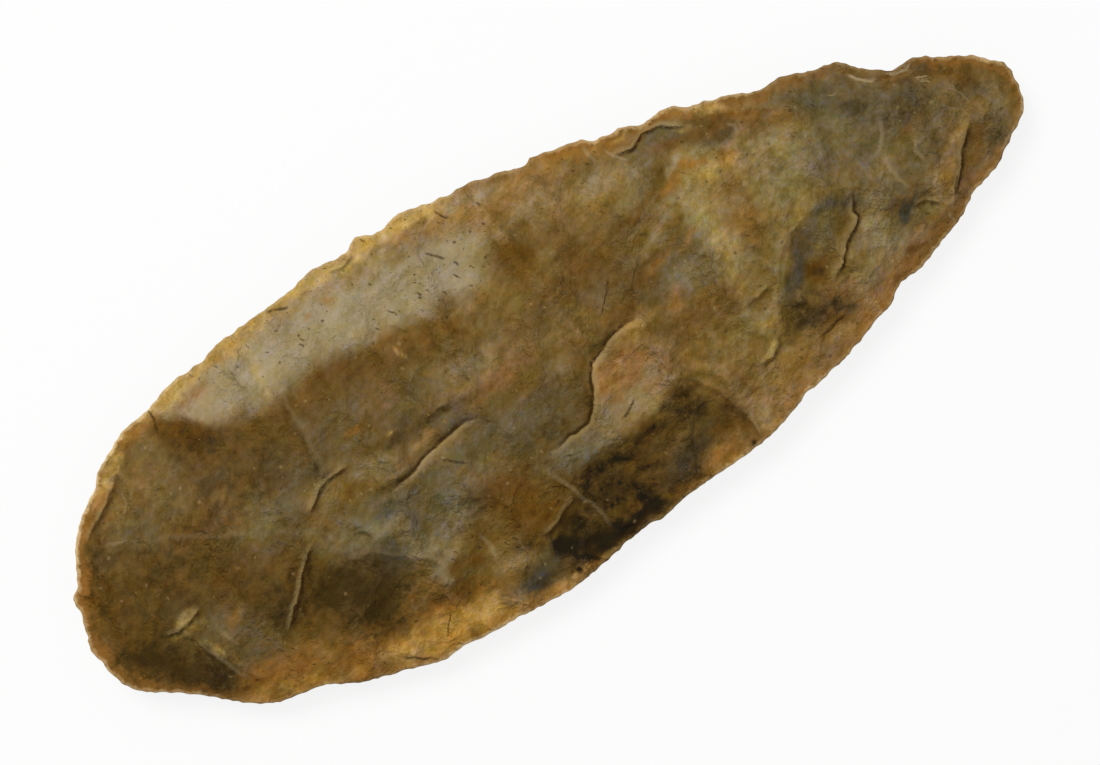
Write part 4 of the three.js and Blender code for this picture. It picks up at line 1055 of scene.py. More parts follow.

# Where the thin rim is painted warm and pale, as light let through it, in the same form
GLOWS: tuple[Row, ...] = (
    (-71, 9, 9, 6, 0.9, 60), (-60, 19, 9, 4, 1, 25), (-73, -1, 4, 6, 0.6), (-69, -11, 7, 4, 0.35, -40),
    (-48, 23, 9, 3, 0.8, 10), (26, 22, 12, 3, 0.5, -16), (38, 18, 7, 3, 0.5, -24),
    (48, 15.6, 7, 2.4, 0.1, -10), (70, 6, 7, 4, 0.5, -35), (73.6, -1, 3, 5, 0.3),
    (66, -8.6, 8, 3, 0.15, 28), (-30, -28, 14, 3, 0.7, -2), (30, -21, 14, 2.4, 0.3, 14),
    (8, -25.4, 8, 2, 0.35, 4), (50, -14.6, 9, 2.4, 0.25, 20), (-12, 28, 16, 3, 0.4),
)

# Where the stone is peppered with dark specks and dashes, in the same form
PEPPERED: tuple[Row, ...] = (
    (-9, 20, 12, 7, 0.9), (-26, 22, 10, 5, 0.7), (-52, -18, 10, 5, 0.8, -14), (-26, -21, 12, 5, 0.8),
    (-14, -15, 8, 5, 0.6), (0, -20, 12, 6, 0.8), (14, 22, 8, 3, 0.6, -10), (29, 18, 6, 4, 0.7),
    (36, -16, 6, 3, 0.7), (50, 14, 7, 3, 0.5, -10), (52, -12, 8, 3, 0.5, 20), (-64, 14, 6, 4, 0.5, 40),
    (40, 12, 6, 4, 0.4), (-58, 0, 12, 6, 0.35), (66, 2, 8, 6, 0.4),
)

# How many times its spread a blur reaches
BLUR_SPREADS = 3


@dataclass(frozen=True)
class Features:
    """All that is drawn on one face."""

    flakes: tuple[Flake, ...]
    ledges: tuple[Ledge, ...]
    cracks: tuple[tuple[Line, float], ...]
    veins_and_glints: tuple[tuple[Line, float, float], ...]
    stains: dict[Mineral, tuple[Row, ...]]
    zones: dict[Mineral, tuple[Zone, ...]]

    def patches(self, mineral: Mineral) -> list[Stain | Zone]:
        """Returns the patches of one mineral, the soft ones first."""
        return [*spread_stains(self.stains[mineral]), *self.zones.get(mineral, ())]


def spread_stains(rows: Iterable[Row]) -> list[Stain]:
    """Turns the rows of a table into stains."""
    return [Stain(*row) for row in rows]


def covered(patches: Iterable[Stain | Zone], x: Array, y: Array) -> Array:
    """Returns how much some patches cover together at plan points, from 0 to 1."""
    clear = np.ones_like(x)
    for patch in patches:
        clear = clear * (1 - patch.mask(x, y))
    return 1 - clear


FEATURES: dict[Face, Features] = {
    Face.UPPER: Features(UPPER_FLAKES, UPPER_LEDGES, UPPER_CRACKS, UPPER_VEINS_AND_GLINTS, UPPER_STAINS, UPPER_ZONES),
    Face.UNDER: Features(UNDER_FLAKES, UNDER_LEDGES, UNDER_CRACKS, UNDER_VEINS, UNDER_STAINS, UNDER_ZONES),
}


@dataclass(frozen=True)
class Net:
    """The net of plan points that both faces are laid over, fitted between four parts of the edge."""

    columns: int = 408
    rows: int = 116
    bunching: float = 0.32
    inset: float = 0.12
    corners: tuple[Point, ...] = ((-64.0, -14.6), (61.0, -10.5), (60.5, 10.0), (-66.0, 14.6))
    corner_search: float = 4.0
    corner_step: int = 3

    def lay(self, edge: Array) -> tuple[Array, Array, Array]:
        """Fits the net inside the edge.

        Args:
            edge: The edge line, anticlockwise.

        Returns:
            The plan x and y of the net's points, a row from base to tip each, and the edge points
            that go with its border, anticlockwise from the first corner.
        """
        before, after = (np.roll(edge, shift, axis=0) for shift in (self.corner_step, -self.corner_step))
        (into_x, into_y), (out_x, out_y) = (edge - before).T, (after - edge).T
        bend = into_x * out_y - into_y * out_x
        away = [np.hypot(*(edge - corner).T) for corner in self.corners]
        starts = [int(np.argmax(np.where(gap < self.corner_search, bend, -np.inf))) for gap in away]
        counts = (self.columns, self.rows, self.columns, self.rows)
        numbers = np.arange(len(edge) + 1)
        ring = np.vstack([edge, edge[:1]])
        sides = []
        for first, last, count in zip(starts, starts[1:] + starts[:1], counts):
            span = (last - first) % len(edge)
            stops = (first + span * self._stops(count)) % len(edge)
            sides.append(np.column_stack([np.interp(stops, numbers, ring[:, axis]) for axis in range(2)]))
        border = np.vstack([side[:-1] for side in sides])
        inner = border + self.inset * inward_normals(border)
        ends = np.cumsum((0, *counts))
        low, tip, high, base = (
            np.take(inner, range(start, end + 1), axis=0, mode="wrap") for start, end in zip(ends, ends[1:])
        )
        return *self._fill(low, tip, high[::-1], base[::-1]), border

    def ring(self) -> Array:
        """Returns the numbers of the net's border points, anticlockwise from the first corner."""
        count = (self.rows + 1) * (self.columns + 1)
        numbers = np.arange(count).reshape(self.rows + 1, self.columns + 1)
        sides = (numbers[0, :-1], numbers[:-1, -1], numbers[-1, :0:-1], numbers[:0:-1, 0])
        return np.concatenate(sides)

    def _stops(self, count: int) -> Array:
        """Returns shares from 0 to 1 that lie closer together near both ends."""
        even = np.linspace(0.0, 1.0, count + 1)
        return (1 - self.bunching) * even + self.bunching * (1 - np.cos(np.pi * even)) / 2

    def _fill(self, low: Array, tip: Array, high: Array, base: Array) -> tuple[Array, Array]:
        """Returns x and y of a net that hangs between four sides as evenly as a stretched skin."""
        pull = np.zeros((2, self.rows - 1, self.columns - 1))
        pull[:, 0] += low[1:-1].T
        pull[:, -1] += high[1:-1].T
        pull[:, :, 0] += base[1:-1].T
        pull[:, :, -1] += tip[1:-1].T
        row_waves, row_rates = self._waves(self.rows)
        column_waves, column_rates = self._waves(self.columns)
        strength = (row_waves @ pull @ column_waves) / (row_rates[:, None] + column_rates)
        plan = np.empty((2, self.rows + 1, self.columns + 1))
        plan[:, 0], plan[:, -1] = low.T, high.T
        plan[:, :, 0], plan[:, :, -1] = base.T, tip.T
        plan[:, 1:-1, 1:-1] = row_waves @ strength @ column_waves
        return plan[0], plan[1]

    @staticmethod
    def _waves(count: int) -> tuple[Array, Array]:
        """Returns the standing waves of a string of so many parts, and how stiff each one is."""
        numbers = np.arange(1, count)
        waves = math.sqrt(2 / count) * np.sin(np.pi * np.outer(numbers, numbers) / count)
        return waves, 2 - 2 * np.cos(np.pi * numbers / count)


def blurred(values: Array, row_reach: float, column_reach: float) -> Array:
    """Blurs a net of values along its rows and columns.

    Args:
        values: One value at each point of the net.
        row_reach: Spread of the blur from row to row, in steps of the net.
        column_reach: Spread of the blur along a row, in steps of the net.

    Returns:
        The blurred values.
    """
    for axis, reach in enumerate((row_reach, column_reach)):
        half = max(1, math.ceil(BLUR_SPREADS * reach))
        weights = np.exp(-0.5 * (np.arange(-half, half + 1) / reach) ** 2)
        weights /= weights.sum()
        padding = [(half, half) if side == axis else (0, 0) for side in range(2)]
        padded = np.pad(values, padding, mode="edge")
        size = values.shape[axis]
        values = sum(
            weight * np.take(padded, range(shift, shift + size), axis=axis)
            for shift, weight in enumerate(weights)
        )
    return values


@dataclass
class Skin:
    """One face of the blade: its heights over the net, and all that its colours depend on."""

    face: Face
    lens: Lens
    edge: Array
    x: Array
    y: Array
    top: float

    ARRIS_WANDER = Warp(71, ((6.0, 0.5), (2.2, 0.22)))
    LINE_WANDER = Warp(83, ((3.0, 0.28), (1.1, 0.12)))
    STAIN_WANDER = Warp(97, ((9.0, 1.1), (3.6, 0.6), (1.4, 0.3)))
    SWELLS = ((0.07, Unevenness(201, 7.0, 2)), (0.03, Unevenness(207, 1.8, 2)))

    # Each blur spreads so far from row to row and along a row
    HEIGHT_BLUR = (0.55, 0.7)
    RIDGE_BLUR = (1.4, 2.0)
    NEAR_BLUR = (1.2, 1.7)
    FAR_BLUR = (5.0, 7.0)
    # From these on, relief shows in full, a ridge and a hollow count in full, and the foot of a ledge is
    # darkened in full, as dirt and painted shade
    FULL_THICKNESS = 1.2
    RIDGE_HEIGHT = 0.05
    HOLLOW_DEPTH = 0.2
    FULL_FOOT_HEIGHT = 0.45
    # How far a line shows, in full and at all, and what stands where none is near
    LINE_REACH = (0.8, 1.6)
    FAR_GAP = 9.0
    FAR_WIDTH = 0.2

    def __post_init__(self) -> None:
        """Shapes the face and maps its colours."""
        self.features = FEATURES[self.face]
        self.masks: dict[str, Array] = {}
        self.z = self._heights()
        self._map_relief()
        self._map_lines()
        self._map_patches()

    def _scar_depths(self) -> Array:
        """Returns how deep the scars and chips cut over the net."""
        moved_x, moved_y = self.ARRIS_WANDER.move(self.x, self.y)
        depths = np.zeros_like(self.x)
        for flake in self.features.flakes:
            turn = math.radians(flake.aim)
            place = (np.array([flake.x]), np.array([flake.y]))
            way = (np.array([-math.cos(turn)]), np.array([-math.sin(turn)]))
            back = distance_to_line(*place, *way, self.edge)[0] / Flake.RIM_CROSSING
            depths = np.maximum(depths, flake.depth_at(moved_x, moved_y, back))
        for row in RETOUCH_ROWS:
            for chip, back in row.chips(self.face, self.edge):
                reach = 2 * max(chip.run, chip.spread, back)
                near = (np.abs(self.x - chip.x) < reach) & (np.abs(self.y - chip.y) < reach)
                depths[near] = np.maximum(depths[near], chip.depth_at(moved_x[near], moved_y[near], back))
        return depths

    def _heights(self) -> Array:
        """Returns the heights of the face over the net."""
        outward = self.lens.outward(self.x, self.y)
        middle = self.lens.rim_middle(self.x, self.y)
        unflaked = self.lens.unflaked(self.face, self.x, self.y, outward)
        swell = sum(height * unevenness.at(self.x, self.y) for height, unevenness in self.SWELLS)
        moved = self.LINE_WANDER.move(self.x, self.y)
        steps = sum(ledge.lift(*ledge.line.measure(*moved)) for ledge in self.features.ledges)
        calm = np.clip((unflaked - self.lens.rim_thickness / 2) / self.FULL_THICKNESS, 0, 1)
        depths = self._scar_depths() - calm * (steps + swell)
        thick = np.maximum(unflaked - depths, self.lens.left_stone * unflaked)
        heights = middle + self.face.value * blurred(thick, *self.HEIGHT_BLUR)
        return np.clip(heights, 0.0, self.top)

    def _map_relief(self) -> None:
        """Maps ridges, hollows and the distance from the edge."""
        lift = self.face.value * self.z
        ridge = lift - blurred(lift, *self.RIDGE_BLUR)
        hollow = blurred(lift, *self.NEAR_BLUR) - blurred(lift, *self.FAR_BLUR)
        self.masks["ridge"] = np.clip(ridge / self.RIDGE_HEIGHT, -1, 1)
        self.masks["hollow"] = np.clip(hollow / self.HOLLOW_DEPTH, -1, 1)
        distance = np.full(self.x.shape, np.inf)
        for edge_x, edge_y in self.edge:
            distance = np.minimum(distance, (self.x - edge_x) ** 2 + (self.y - edge_y) ** 2)
        self.masks["rim"] = np.sqrt(distance)

    def _map_lines(self) -> None:
        """Maps the nearest ledge, crack and pale line, veins and painted glints alike: how far off it is,
        its strength and its width.
        """
        moved = self.LINE_WANDER.move(self.x, self.y)
        # A ledge's strength is how dark its foot is painted, as dirt and painted shade
        ledges = [
            (ledge.line, None, ledge.shade_and_dirt * min(1.0, ledge.height / self.FULL_FOOT_HEIGHT))
            for ledge in self.features.ledges
        ]
        cracks = [(line, width, 1.0) for line, width in self.features.cracks]
        full_reach, reach = self.LINE_REACH
        for name, lines in (("ledge", ledges), ("crack", cracks), ("vein_and_glint", self.features.veins_and_glints)):
            gaps = np.full(self.x.shape, self.FAR_GAP)
            widths = np.full(self.x.shape, self.FAR_WIDTH)
            strengths = np.zeros(self.x.shape)
            for line, width, amount in lines:
                gap, fade = line.measure(*moved)
                closer = np.abs(gap) < np.abs(gaps)
                shown = fade * amount * smoothstep(-reach, -full_reach, -np.abs(gap))
                gaps = np.where(closer, gap, gaps)
                strengths = np.where(closer, shown, strengths)
                if width is not None:
                    widths = np.where(closer, width, widths)
            self.masks[f"{name}_gap"] = gaps
            self.masks[f"{name}_strength"] = strengths
            if name != "ledge":
                self.masks[f"{name}_width"] = widths

    def _map_patches(self) -> None:
        """Maps where each mineral lies, the glow of the rim and the peppering."""
        moved = self.STAIN_WANDER.move(self.x, self.y)
        for mineral in Mineral:
            self.masks[mineral.mask_name] = covered(self.features.patches(mineral), *moved)
        self.masks["glow"] = covered(spread_stains(GLOWS), *moved)
        self.masks["pepper"] = covered(spread_stains(PEPPERED), *moved)


@dataclass(frozen=True)
class Noise:
    """A noise over the stone: the width of its largest blots in millimetres, and how fine it goes."""

    size: float
    detail: float = 3.0
    rough: float = 0.55


@dataclass(frozen=True)
class Specks:
    """Scattered specks: cells in millimetres, the size of a speck in its cell, and how many have one.

    Where the stone is peppered, more of them do.
    """

    cell: float
    size: float
    share: float
    peppered: float = 0.0


class Sheet:
    """A node tree that is written a node at a time, down each column and from left to right."""

    COLUMN_WIDTH = 180.0
    ROW_HEIGHT = 220.0
    ROWS = 8

    def __init__(self, tree: Tree) -> None:
        """Starts on an empty tree."""
        self.tree = tree
        self.count = 0

    def node(self, kind: str, inputs: dict | None = None, **settings: object) -> Node:
        """Adds a node.

        Args:
            kind: The node's type.
            inputs: What goes into its sockets, by name or number: another socket or a value.
            settings: The node's own properties.

        Returns:
            The new node.
        """
        node = self.tree.nodes.new(kind)
        column, row = divmod(self.count, self.ROWS)
        node.location = (self.COLUMN_WIDTH * column, -self.ROW_HEIGHT * row)
        self.count += 1
        for name, value in settings.items():
            setattr(node, name, value)
        for socket, value in (inputs or {}).items():
            self.feed(node.inputs[socket], value)
        return node

    def feed(self, socket: Socket, value: object) -> None:
        """Links a socket to an output, or sets its value."""
        if isinstance(value, Socket):
            self.tree.links.new(value, socket)
        else:
            socket.default_value = value

    def maths(self, operation: str, *values: object, clamp: bool = False) -> Socket:
        """Returns the result of one sum."""
        inputs = dict(enumerate(values))
        return self.node("ShaderNodeMath", inputs, operation=operation, use_clamp=clamp).outputs[0]

    def product(self, first: object, *others: object) -> Socket:
        """Returns the product of its values."""
        for other in others:
            first = self.maths("MULTIPLY", first, other)
        return first

    def line(self, value: object, slope: float, start: object = 0.0) -> Socket:
        """Returns start plus slope times a value."""
        return self.maths("MULTIPLY_ADD", value, slope, start)

    def swing(self, noise: object, strength: object, start: object = 0.0) -> Socket:
        """Returns start, swung up and down as a noise runs above and below its middle."""
        return self.maths("MULTIPLY_ADD", self.maths("SUBTRACT", noise, 0.5), strength, start)

    def vector(self, operation: str, first: object, second: object) -> Socket:
        """Returns the result of one sum on vectors, of which SCALE takes a number in second place."""
        inputs = {0: first, "Scale" if operation == "SCALE" else 1: second}
        return self.node("ShaderNodeVectorMath", inputs, operation=operation).outputs[0]

    def ramp(
        self, value: object, low: object, high: object, start: float = 0.0, end: float = 1.0
    ) -> Socket:
        """Returns start below low, end above high and a smooth change between them."""
        inputs = {"Value": value, "From Min": low, "From Max": high, "To Min": start, "To Max": end}
        return self.node("ShaderNodeMapRange", inputs, interpolation_type="SMOOTHSTEP").outputs["Result"]

    def blend(self, share: object, under: object, over: object) -> Socket:
        """Returns one colour laid over another."""
        node = self.node("ShaderNodeMix", data_type="RGBA", clamp_factor=True)
        colours = [socket for socket in node.inputs if socket.type == "RGBA"]
        self.feed(node.inputs[0], share)
        self.feed(colours[0], under)
        self.feed(colours[1], over)
        return next(socket for socket in node.outputs if socket.type == "RGBA")

    def noise(self, place: object, noise: Noise) -> Node:
        """Returns the node of a noise."""
        inputs = {"Vector": place, "Scale": 1 / noise.size, "Detail": noise.detail, "Roughness": noise.rough}
        return self.node("ShaderNodeTexNoise", inputs, noise_dimensions="3D")

    def mask(self, name: str) -> Socket:
        """Returns a mask that the mesh carries."""
        return self.node("ShaderNodeAttribute", attribute_name=name).outputs["Fac"]

    def stretched(self, place: object, turn: float, long: float) -> Socket:
        """Returns coordinates whose patterns come out longer along a direction turned from +X."""
        spin = {"Vector": place, "Angle": math.radians(-turn)}
        turned = self.node("ShaderNodeVectorRotate", spin, rotation_type="Z_AXIS").outputs[0]
        return self.vector("MULTIPLY", turned, (1 / long, 1.0, 1.0))

    def group(self, tree: Tree, inputs: dict) -> Socket:
        """Places a group with its own values and returns its first output."""
        return self.node("ShaderNodeGroup", inputs, node_tree=tree).outputs[0]


def new_group(
    name: str, inputs: dict[str, str], outputs: dict[str, str]
) -> tuple[Tree, Sheet, bpy.types.NodeOutputs]:
    """Starts a node group.

    Args:
        name: The group's name.
        inputs: The kind of each named input socket.
        outputs: The kind of each named output socket.

    Returns:
        The group, a sheet to write it on and what its input node gives.
    """
    tree = bpy.data.node_groups.new(name, "ShaderNodeTree")
    for in_out, sockets in (("INPUT", inputs), ("OUTPUT", outputs)):
        for socket, kind in sockets.items():
            tree.interface.new_socket(name=socket, in_out=in_out, socket_type=kind)
    sheet = Sheet(tree)
    return tree, sheet, sheet.node("NodeGroupInput").outputs


FLOAT, COLOUR, VECTOR = "NodeSocketFloat", "NodeSocketColor", "NodeSocketVector"

# Brings a mask times what it leaves to 1 where the mask is half
BORDER_HEIGHT = 4.0
# The smallest speck and the solid middle of one, as shares of the largest and of its radius
LEAST_SPECK = 0.2
SPECK_CORE = 0.45


def mineral_group() -> Tree:
    """Builds the group that lays one mineral over the stone, broken up along its border."""
    tree, sheet, given = new_group(
        "mineral over stone",
        {"Stone": COLOUR, "Mineral": COLOUR, "Mask": FLOAT, "Noise": FLOAT, "Raggedness": FLOAT},
        {"Colour": COLOUR},
    )
    mask = given["Mask"]
    border = sheet.product(mask, sheet.maths("SUBTRACT", 1.0, mask), BORDER_HEIGHT)
    swing = sheet.swing(given["Noise"], given["Raggedness"])
    broken = sheet.maths("MULTIPLY_ADD", border, swing, mask, clamp=True)
    laid = sheet.blend(broken, given["Stone"], given["Mineral"])
    sheet.node("NodeGroupOutput", {"Colour": laid})
    return tree


def speck_group() -> Tree:
    """Builds the group that scatters specks of uneven size, one to a cell at most."""
    tree, sheet, given = new_group(
        "scattered specks",
        {"Place": VECTOR, "Scale": FLOAT, "Share": FLOAT, "Size": FLOAT},
        {"Mask": FLOAT},
    )
    spread = {"Vector": given["Place"], "Scale": given["Scale"]}
    cells = sheet.node("ShaderNodeTexVoronoi", spread, voronoi_dimensions="2D").outputs
    draws = sheet.node("ShaderNodeSeparateColor", {"Color": cells["Color"]}).outputs
    largeness = sheet.line(sheet.maths("POWER", draws[0], 2.0), 1.0 - LEAST_SPECK, LEAST_SPECK)
    radius = sheet.product(given["Size"], largeness)
    core = sheet.product(radius, SPECK_CORE)
    spot = sheet.ramp(cells["Distance"], core, radius, 1.0, 0.0)
    kept = sheet.maths("LESS_THAN", draws[1], given["Share"])
    sheet.node("NodeGroupOutput", {"Mask": sheet.product(spot, kept)})
    return tree


@dataclass(frozen=True)
class ChertFinish:
    """The satin surface of the chert: mineral colours, grain, dirt in cracks, painted light and shade on
    ridges and ledges, painted glints, and a thin rim painted warm and pale as if lit through.

    A range or rise says where a ramp starts and ends, and a fade also from what to what it runs. A
    lay is the direction of a stretched pattern, in degrees, and how much longer it comes out that
    way. The other pairs are a factor and what is added.
    """

    ground: Colour = (110, 88, 47)
    ground_dark: Colour = (94, 73, 36)
    # The dark of the dirt in cracks, and of the dirt and painted shade at the foot of each ledge
    shade_and_dirt: Colour = (50, 31, 4)
    speck: Colour = (54, 34, 6)
    # The pale of the flecks, also used for the painted highlight on the lip of each ledge
    fleck_and_lip_highlight: Colour = (178, 152, 100)
    # The pale of the veins, also used for the painted glints by the tip
    vein_and_glint: Colour = (168, 147, 108)
    # The warm of the rim: partly stain, partly painted light let through the thin edge
    rim: Colour = (146, 99, 40)
    # The painted glow of the rim's outermost line
    rim_edge_glow: Colour = (232, 200, 144)

    # The patches of the minerals
    broad: Noise = Noise(13.0)
    broad_range: Pair = (0.35, 0.65)
    clouds: Noise = Noise(4.2, 5.0, 0.6)
    mottle: Noise = Noise(1.5, 4.0, 0.65)
    mottle_range: Pair = (0.72, 1.28)
    plain_raggedness: float = 0.6
    raggedness: tuple[tuple[Mineral, float], ...] = (
        (Mineral.MILK, 0.3), (Mineral.SHADE, 1.0), (Mineral.SOOT, 1.4),
    )

    # Light and dark in the stone, a painted highlight on sharp ridges and painted shade in narrow creases,
    # and its tints
    grain: Noise = Noise(0.8, 4.0, 0.62)
    streaks: Noise = Noise(1.3, 4.0, 0.6)
    streak_lay: Pair = (14.0, 6.0)
    strokes: Noise = Noise(0.8, 3.0, 0.6)
    stroke_lay: Pair = (52.0, 4.0)
    tones: tuple[float, float, float, float] = (0.9, 0.8, 0.6, 0.85)
    ridge_light_and_shade: float = 0.16
    hollow_tone: float = -0.1
    window_calm: float = 0.5
    least_tone: float = 0.2
    yellowing: tuple[float, float, float] = (0.95, 1.12, 2.3)
    patina: tuple[float, float, float] = (1.06, 1.005, 0.695)
    warm_tint: Tint = (1.01, 0.99, 0.82, 1.0)
    cool_tint: Tint = (0.98, 1.0, 1.18, 1.0)
    red_tint: Tint = (1.03, 0.98, 0.97, 1.0)
    green_tint: Tint = (0.97, 1.01, 1.0, 1.0)
    tints: tuple[tuple[Noise, float], ...] = (
        (Noise(6.0, 3.0, 0.7), 43.0), (Noise(2.2, 3.0, 0.7), 71.0), (Noise(0.9, 3.0, 0.7), 23.0),
    )
    tint_range: Pair = (0.36, 0.64)
    window_steadiness: float = 0.6

    # The rim, painted warm and pale as light let through it
    rim_grain: float = -1.2
    rim_clouds: float = -5.0
    patch_range: Pair = (0.42, 0.58)
    soot_cover: float = 0.9
    cream_cover: float = 0.7
    warm_glow: Pair = (0.7, 0.3)
    warm_patches: Pair = (0.4, 0.6)
    warm_fade: Fade = (0.7, 2.0, 0.95, 0.0)
    edge_glow: Pair = (0.8, 0.2)
    edge_patches: Pair = (-0.5, 1.0)
    edge_fade: Fade = (0.15, 0.7, 0.9, 0.0)

    # Specks, dashes and flecks
    wobble: Noise = Noise(0.9, 2.0)
    wobble_reach: float = 0.9
    large_specks: Specks = Specks(2.1, 0.16, 0.12, 0.25)
    small_specks: Specks = Specks(0.8, 0.26, 0.16, 0.3)
    small_depth: float = 0.6
    dashes: Specks = Specks(1.1, 0.19, 0.05, 0.4)
    dash_lay: Pair = (-50.0, 3.0)
    speck_strength: Pair = (0.3, 0.45)
    flecks: Specks = Specks(1.5, 0.22, 0.14)
    fleck_shift: tuple[float, float, float] = (31.0, 17.0, 5.0)
    fleck_strength: float = 0.26

    # Veins and painted glints, the painted highlight on each ledge's lip and the dirt and painted shade at
    # its foot, and cracks
    broken_range: Pair = (0.36, 0.52)
    line_wander: float = 0.6
    vein_and_glint_fade: Fade = (0.1, 1.2, 0.5, 0.0)
    lip_highlight_rise: Pair = (0.05, 0.25)
    lip_highlight_fade: Fade = (0.35, 1.0, 1.0, 0.0)
    lip_highlight_strength: float = 0.38
    foot_rise: Pair = (-0.7, -0.12)
    foot_fade: Fade = (-0.02, 0.16, 1.0, 0.0)
    foot_breaks: Pair = (0.5, 0.5)
    foot_shade_and_dirt: float = 0.95
    crack_fade: Fade = (0.3, 1.2, 1.0, 0.0)
    crack_breaks: Pair = (0.6, 0.4)
    crack_dirt: float = 0.75

    # The sheen and the finest relief, in millimetres
    roughness: float = 0.5
    grain_roughness: float = 0.5
    shade_and_dirt_roughness: float = 0.25
    gloss: float = 0.07
    refraction: float = 1.54
    facet: float = 5.5
    facet_lay: Pair = (78.0, 1.7)
    facet_bend: float = 5.0
    facet_height: float = 2.0
    dust: Noise = Noise(0.2, 2.0, 0.6)
    cloud_height: float = 0.8
    grain_height: float = 0.12
    dust_height: float = 0.012
    pit_height: float = -0.05
    shade_and_dirt_height: float = -0.08

    def make(self) -> bpy.types.Material:
        """Builds the material and returns it."""
        material = bpy.data.materials.new("chert")
        material.use_nodes = True
        material.node_tree.nodes.clear()
        sheet = Sheet(material.node_tree)
        local = sheet.node("ShaderNodeTexCoord").outputs["Object"]
        place = sheet.vector("SCALE", local, 1 / MM)
        clouds = sheet.noise(place, self.clouds)
        grain = sheet.noise(place, self.grain).outputs["Fac"]
        stone = self._minerals(sheet, place, clouds)
        stone = self._shading(sheet, place, stone, clouds, grain)
        stone = self._rim(sheet, stone, clouds, grain)
        stone, pits = self._specks(sheet, place, stone)
        stone, shade_and_dirt = self._lines(sheet, stone, grain)
        rough = sheet.swing(grain, self.grain_roughness, self.roughness)
        inputs = {
            "Base Color": stone,
            "IOR": self.refraction,
            "Specular IOR Level": self.gloss,
            "Roughness": sheet.maths("MULTIPLY_ADD", shade_and_dirt, self.shade_and_dirt_roughness, rough, clamp=True),
            "Normal": self._bumps(sheet, place, clouds, grain, pits, shade_and_dirt),
        }
        shader = sheet.node("ShaderNodeBsdfPrincipled", inputs)
        sheet.node("ShaderNodeOutputMaterial", {"Surface": shader.outputs[0]})
        return material

    def _minerals(self, sheet: Sheet, place: Socket, clouds: Node) -> Socket:
        """Lays the minerals over the ground colour, one after another."""
        laying = mineral_group()
        mottle = sheet.noise(place, self.mottle)
        fine, coarse = (
            sheet.node("ShaderNodeSeparateColor", {"Color": noise.outputs["Color"]}).outputs
            for noise in (mottle, clouds)
        )
        broad = sheet.ramp(sheet.noise(place, self.broad).outputs["Fac"], *self.broad_range)
        stone = sheet.blend(broad, linear(self.ground_dark), linear(self.ground))
        for number, mineral in enumerate(Mineral):
            mixed = sheet.maths("ADD", fine[number % len(fine)], coarse[(number + 1) % len(coarse)])
            inputs = {
                "Stone": stone,
                "Mineral": linear(mineral.value),
                "Mask": sheet.mask(mineral.mask_name),
                "Noise": sheet.ramp(mixed, *self.mottle_range),
                "Raggedness": dict(self.raggedness).get(mineral, self.plain_raggedness),
            }
            stone = sheet.group(laying, inputs)
        return stone

    def _shading(
        self, sheet: Sheet, place: Socket, stone: Socket, clouds: Node, grain: Socket
    ) -> Socket:
        """Varies the colour in clouds, faint streaks and grain, paints highlights on sharp ridges and shade
        in narrow creases, and makes broad rises a little darker than broad hollows.
        """
        streaks = sheet.noise(sheet.stretched(place, *self.streak_lay), self.streaks).outputs["Fac"]
        strokes = sheet.noise(sheet.stretched(place, *self.stroke_lay), self.strokes).outputs["Fac"]
        tone = 0.0
        for noise, strength in zip((clouds.outputs["Fac"], streaks, strokes, grain), self.tones):
            tone = sheet.swing(noise, strength, tone)
        # Painted highlight on sharp ridges and painted shade in narrow creases
        tone = sheet.line(sheet.mask("ridge"), self.ridge_light_and_shade, tone)
        tone = sheet.line(sheet.mask("hollow"), self.hollow_tone, tone)
        window = sheet.mask(Mineral.MILK.mask_name)
        calm = sheet.line(window, -self.window_calm, 1.0)
        level = sheet.maths("MAXIMUM", sheet.maths("MULTIPLY_ADD", tone, calm, 1.0), self.least_tone)
        levels = [sheet.maths("POWER", level, power) for power in self.yellowing]
        scale = sheet.node("ShaderNodeCombineXYZ", dict(enumerate(levels))).outputs[0]
        stone = sheet.vector("MULTIPLY", stone, scale)
        return sheet.vector("MULTIPLY", stone, self._tint(sheet, place, window))

    def _tint(self, sheet: Sheet, place: Socket, window: Socket) -> Socket:
        """Returns the patina, swung warm or cool and red or green in patches of three sizes."""
        tint = self.patina
        for noise, shift in self.tints:
            for move, low, high in (
                ((shift, -shift, shift), self.cool_tint, self.warm_tint),
                ((-shift, shift, shift), self.green_tint, self.red_tint),
            ):
                moved = sheet.vector("ADD", place, move)
                turning = sheet.ramp(sheet.noise(moved, noise).outputs["Fac"], *self.tint_range)
                tint = sheet.vector("MULTIPLY", tint, sheet.blend(turning, low, high))
        return sheet.blend(sheet.product(window, self.window_steadiness), tint, (*self.patina, 1.0))

    def _rim(self, sheet: Sheet, stone: Socket, clouds: Node, grain: Socket) -> Socket:
        """Paints the thin rim warm, partly as stain and partly as painted light let through it, and paints
        its outermost line pale, a painted glow.
        """
        fine_edge = sheet.swing(grain, self.rim_grain, sheet.mask("rim"))
        broad_edge = sheet.swing(clouds.outputs["Fac"], self.rim_clouds, fine_edge)
        patches = sheet.ramp(clouds.outputs["Color"], *self.patch_range)
        clean = sheet.line(sheet.mask(Mineral.SOOT.mask_name), -self.soot_cover, 1.0)
        bare = sheet.line(sheet.mask(Mineral.CREAM.mask_name), -self.cream_cover, clean)
        glow = sheet.product(sheet.mask("glow"), clean)
        # The warm rim: partly stain, partly painted light let through the thin edge
        warm = sheet.product(sheet.line(glow, *self.warm_glow), sheet.line(patches, *self.warm_patches))
        fade = sheet.ramp(broad_edge, *self.warm_fade)
        warm = sheet.product(warm, sheet.maths("MAXIMUM", bare, 0.0), fade)
        stone = sheet.blend(warm, stone, linear(self.rim))
        # The pale outermost line: a painted glow of light let through the edge
        pale = sheet.product(sheet.line(glow, *self.edge_glow), sheet.line(patches, *self.edge_patches))
        pale = sheet.product(pale, clean, sheet.ramp(fine_edge, *self.edge_fade))
        return sheet.blend(pale, stone, linear(self.rim_edge_glow))

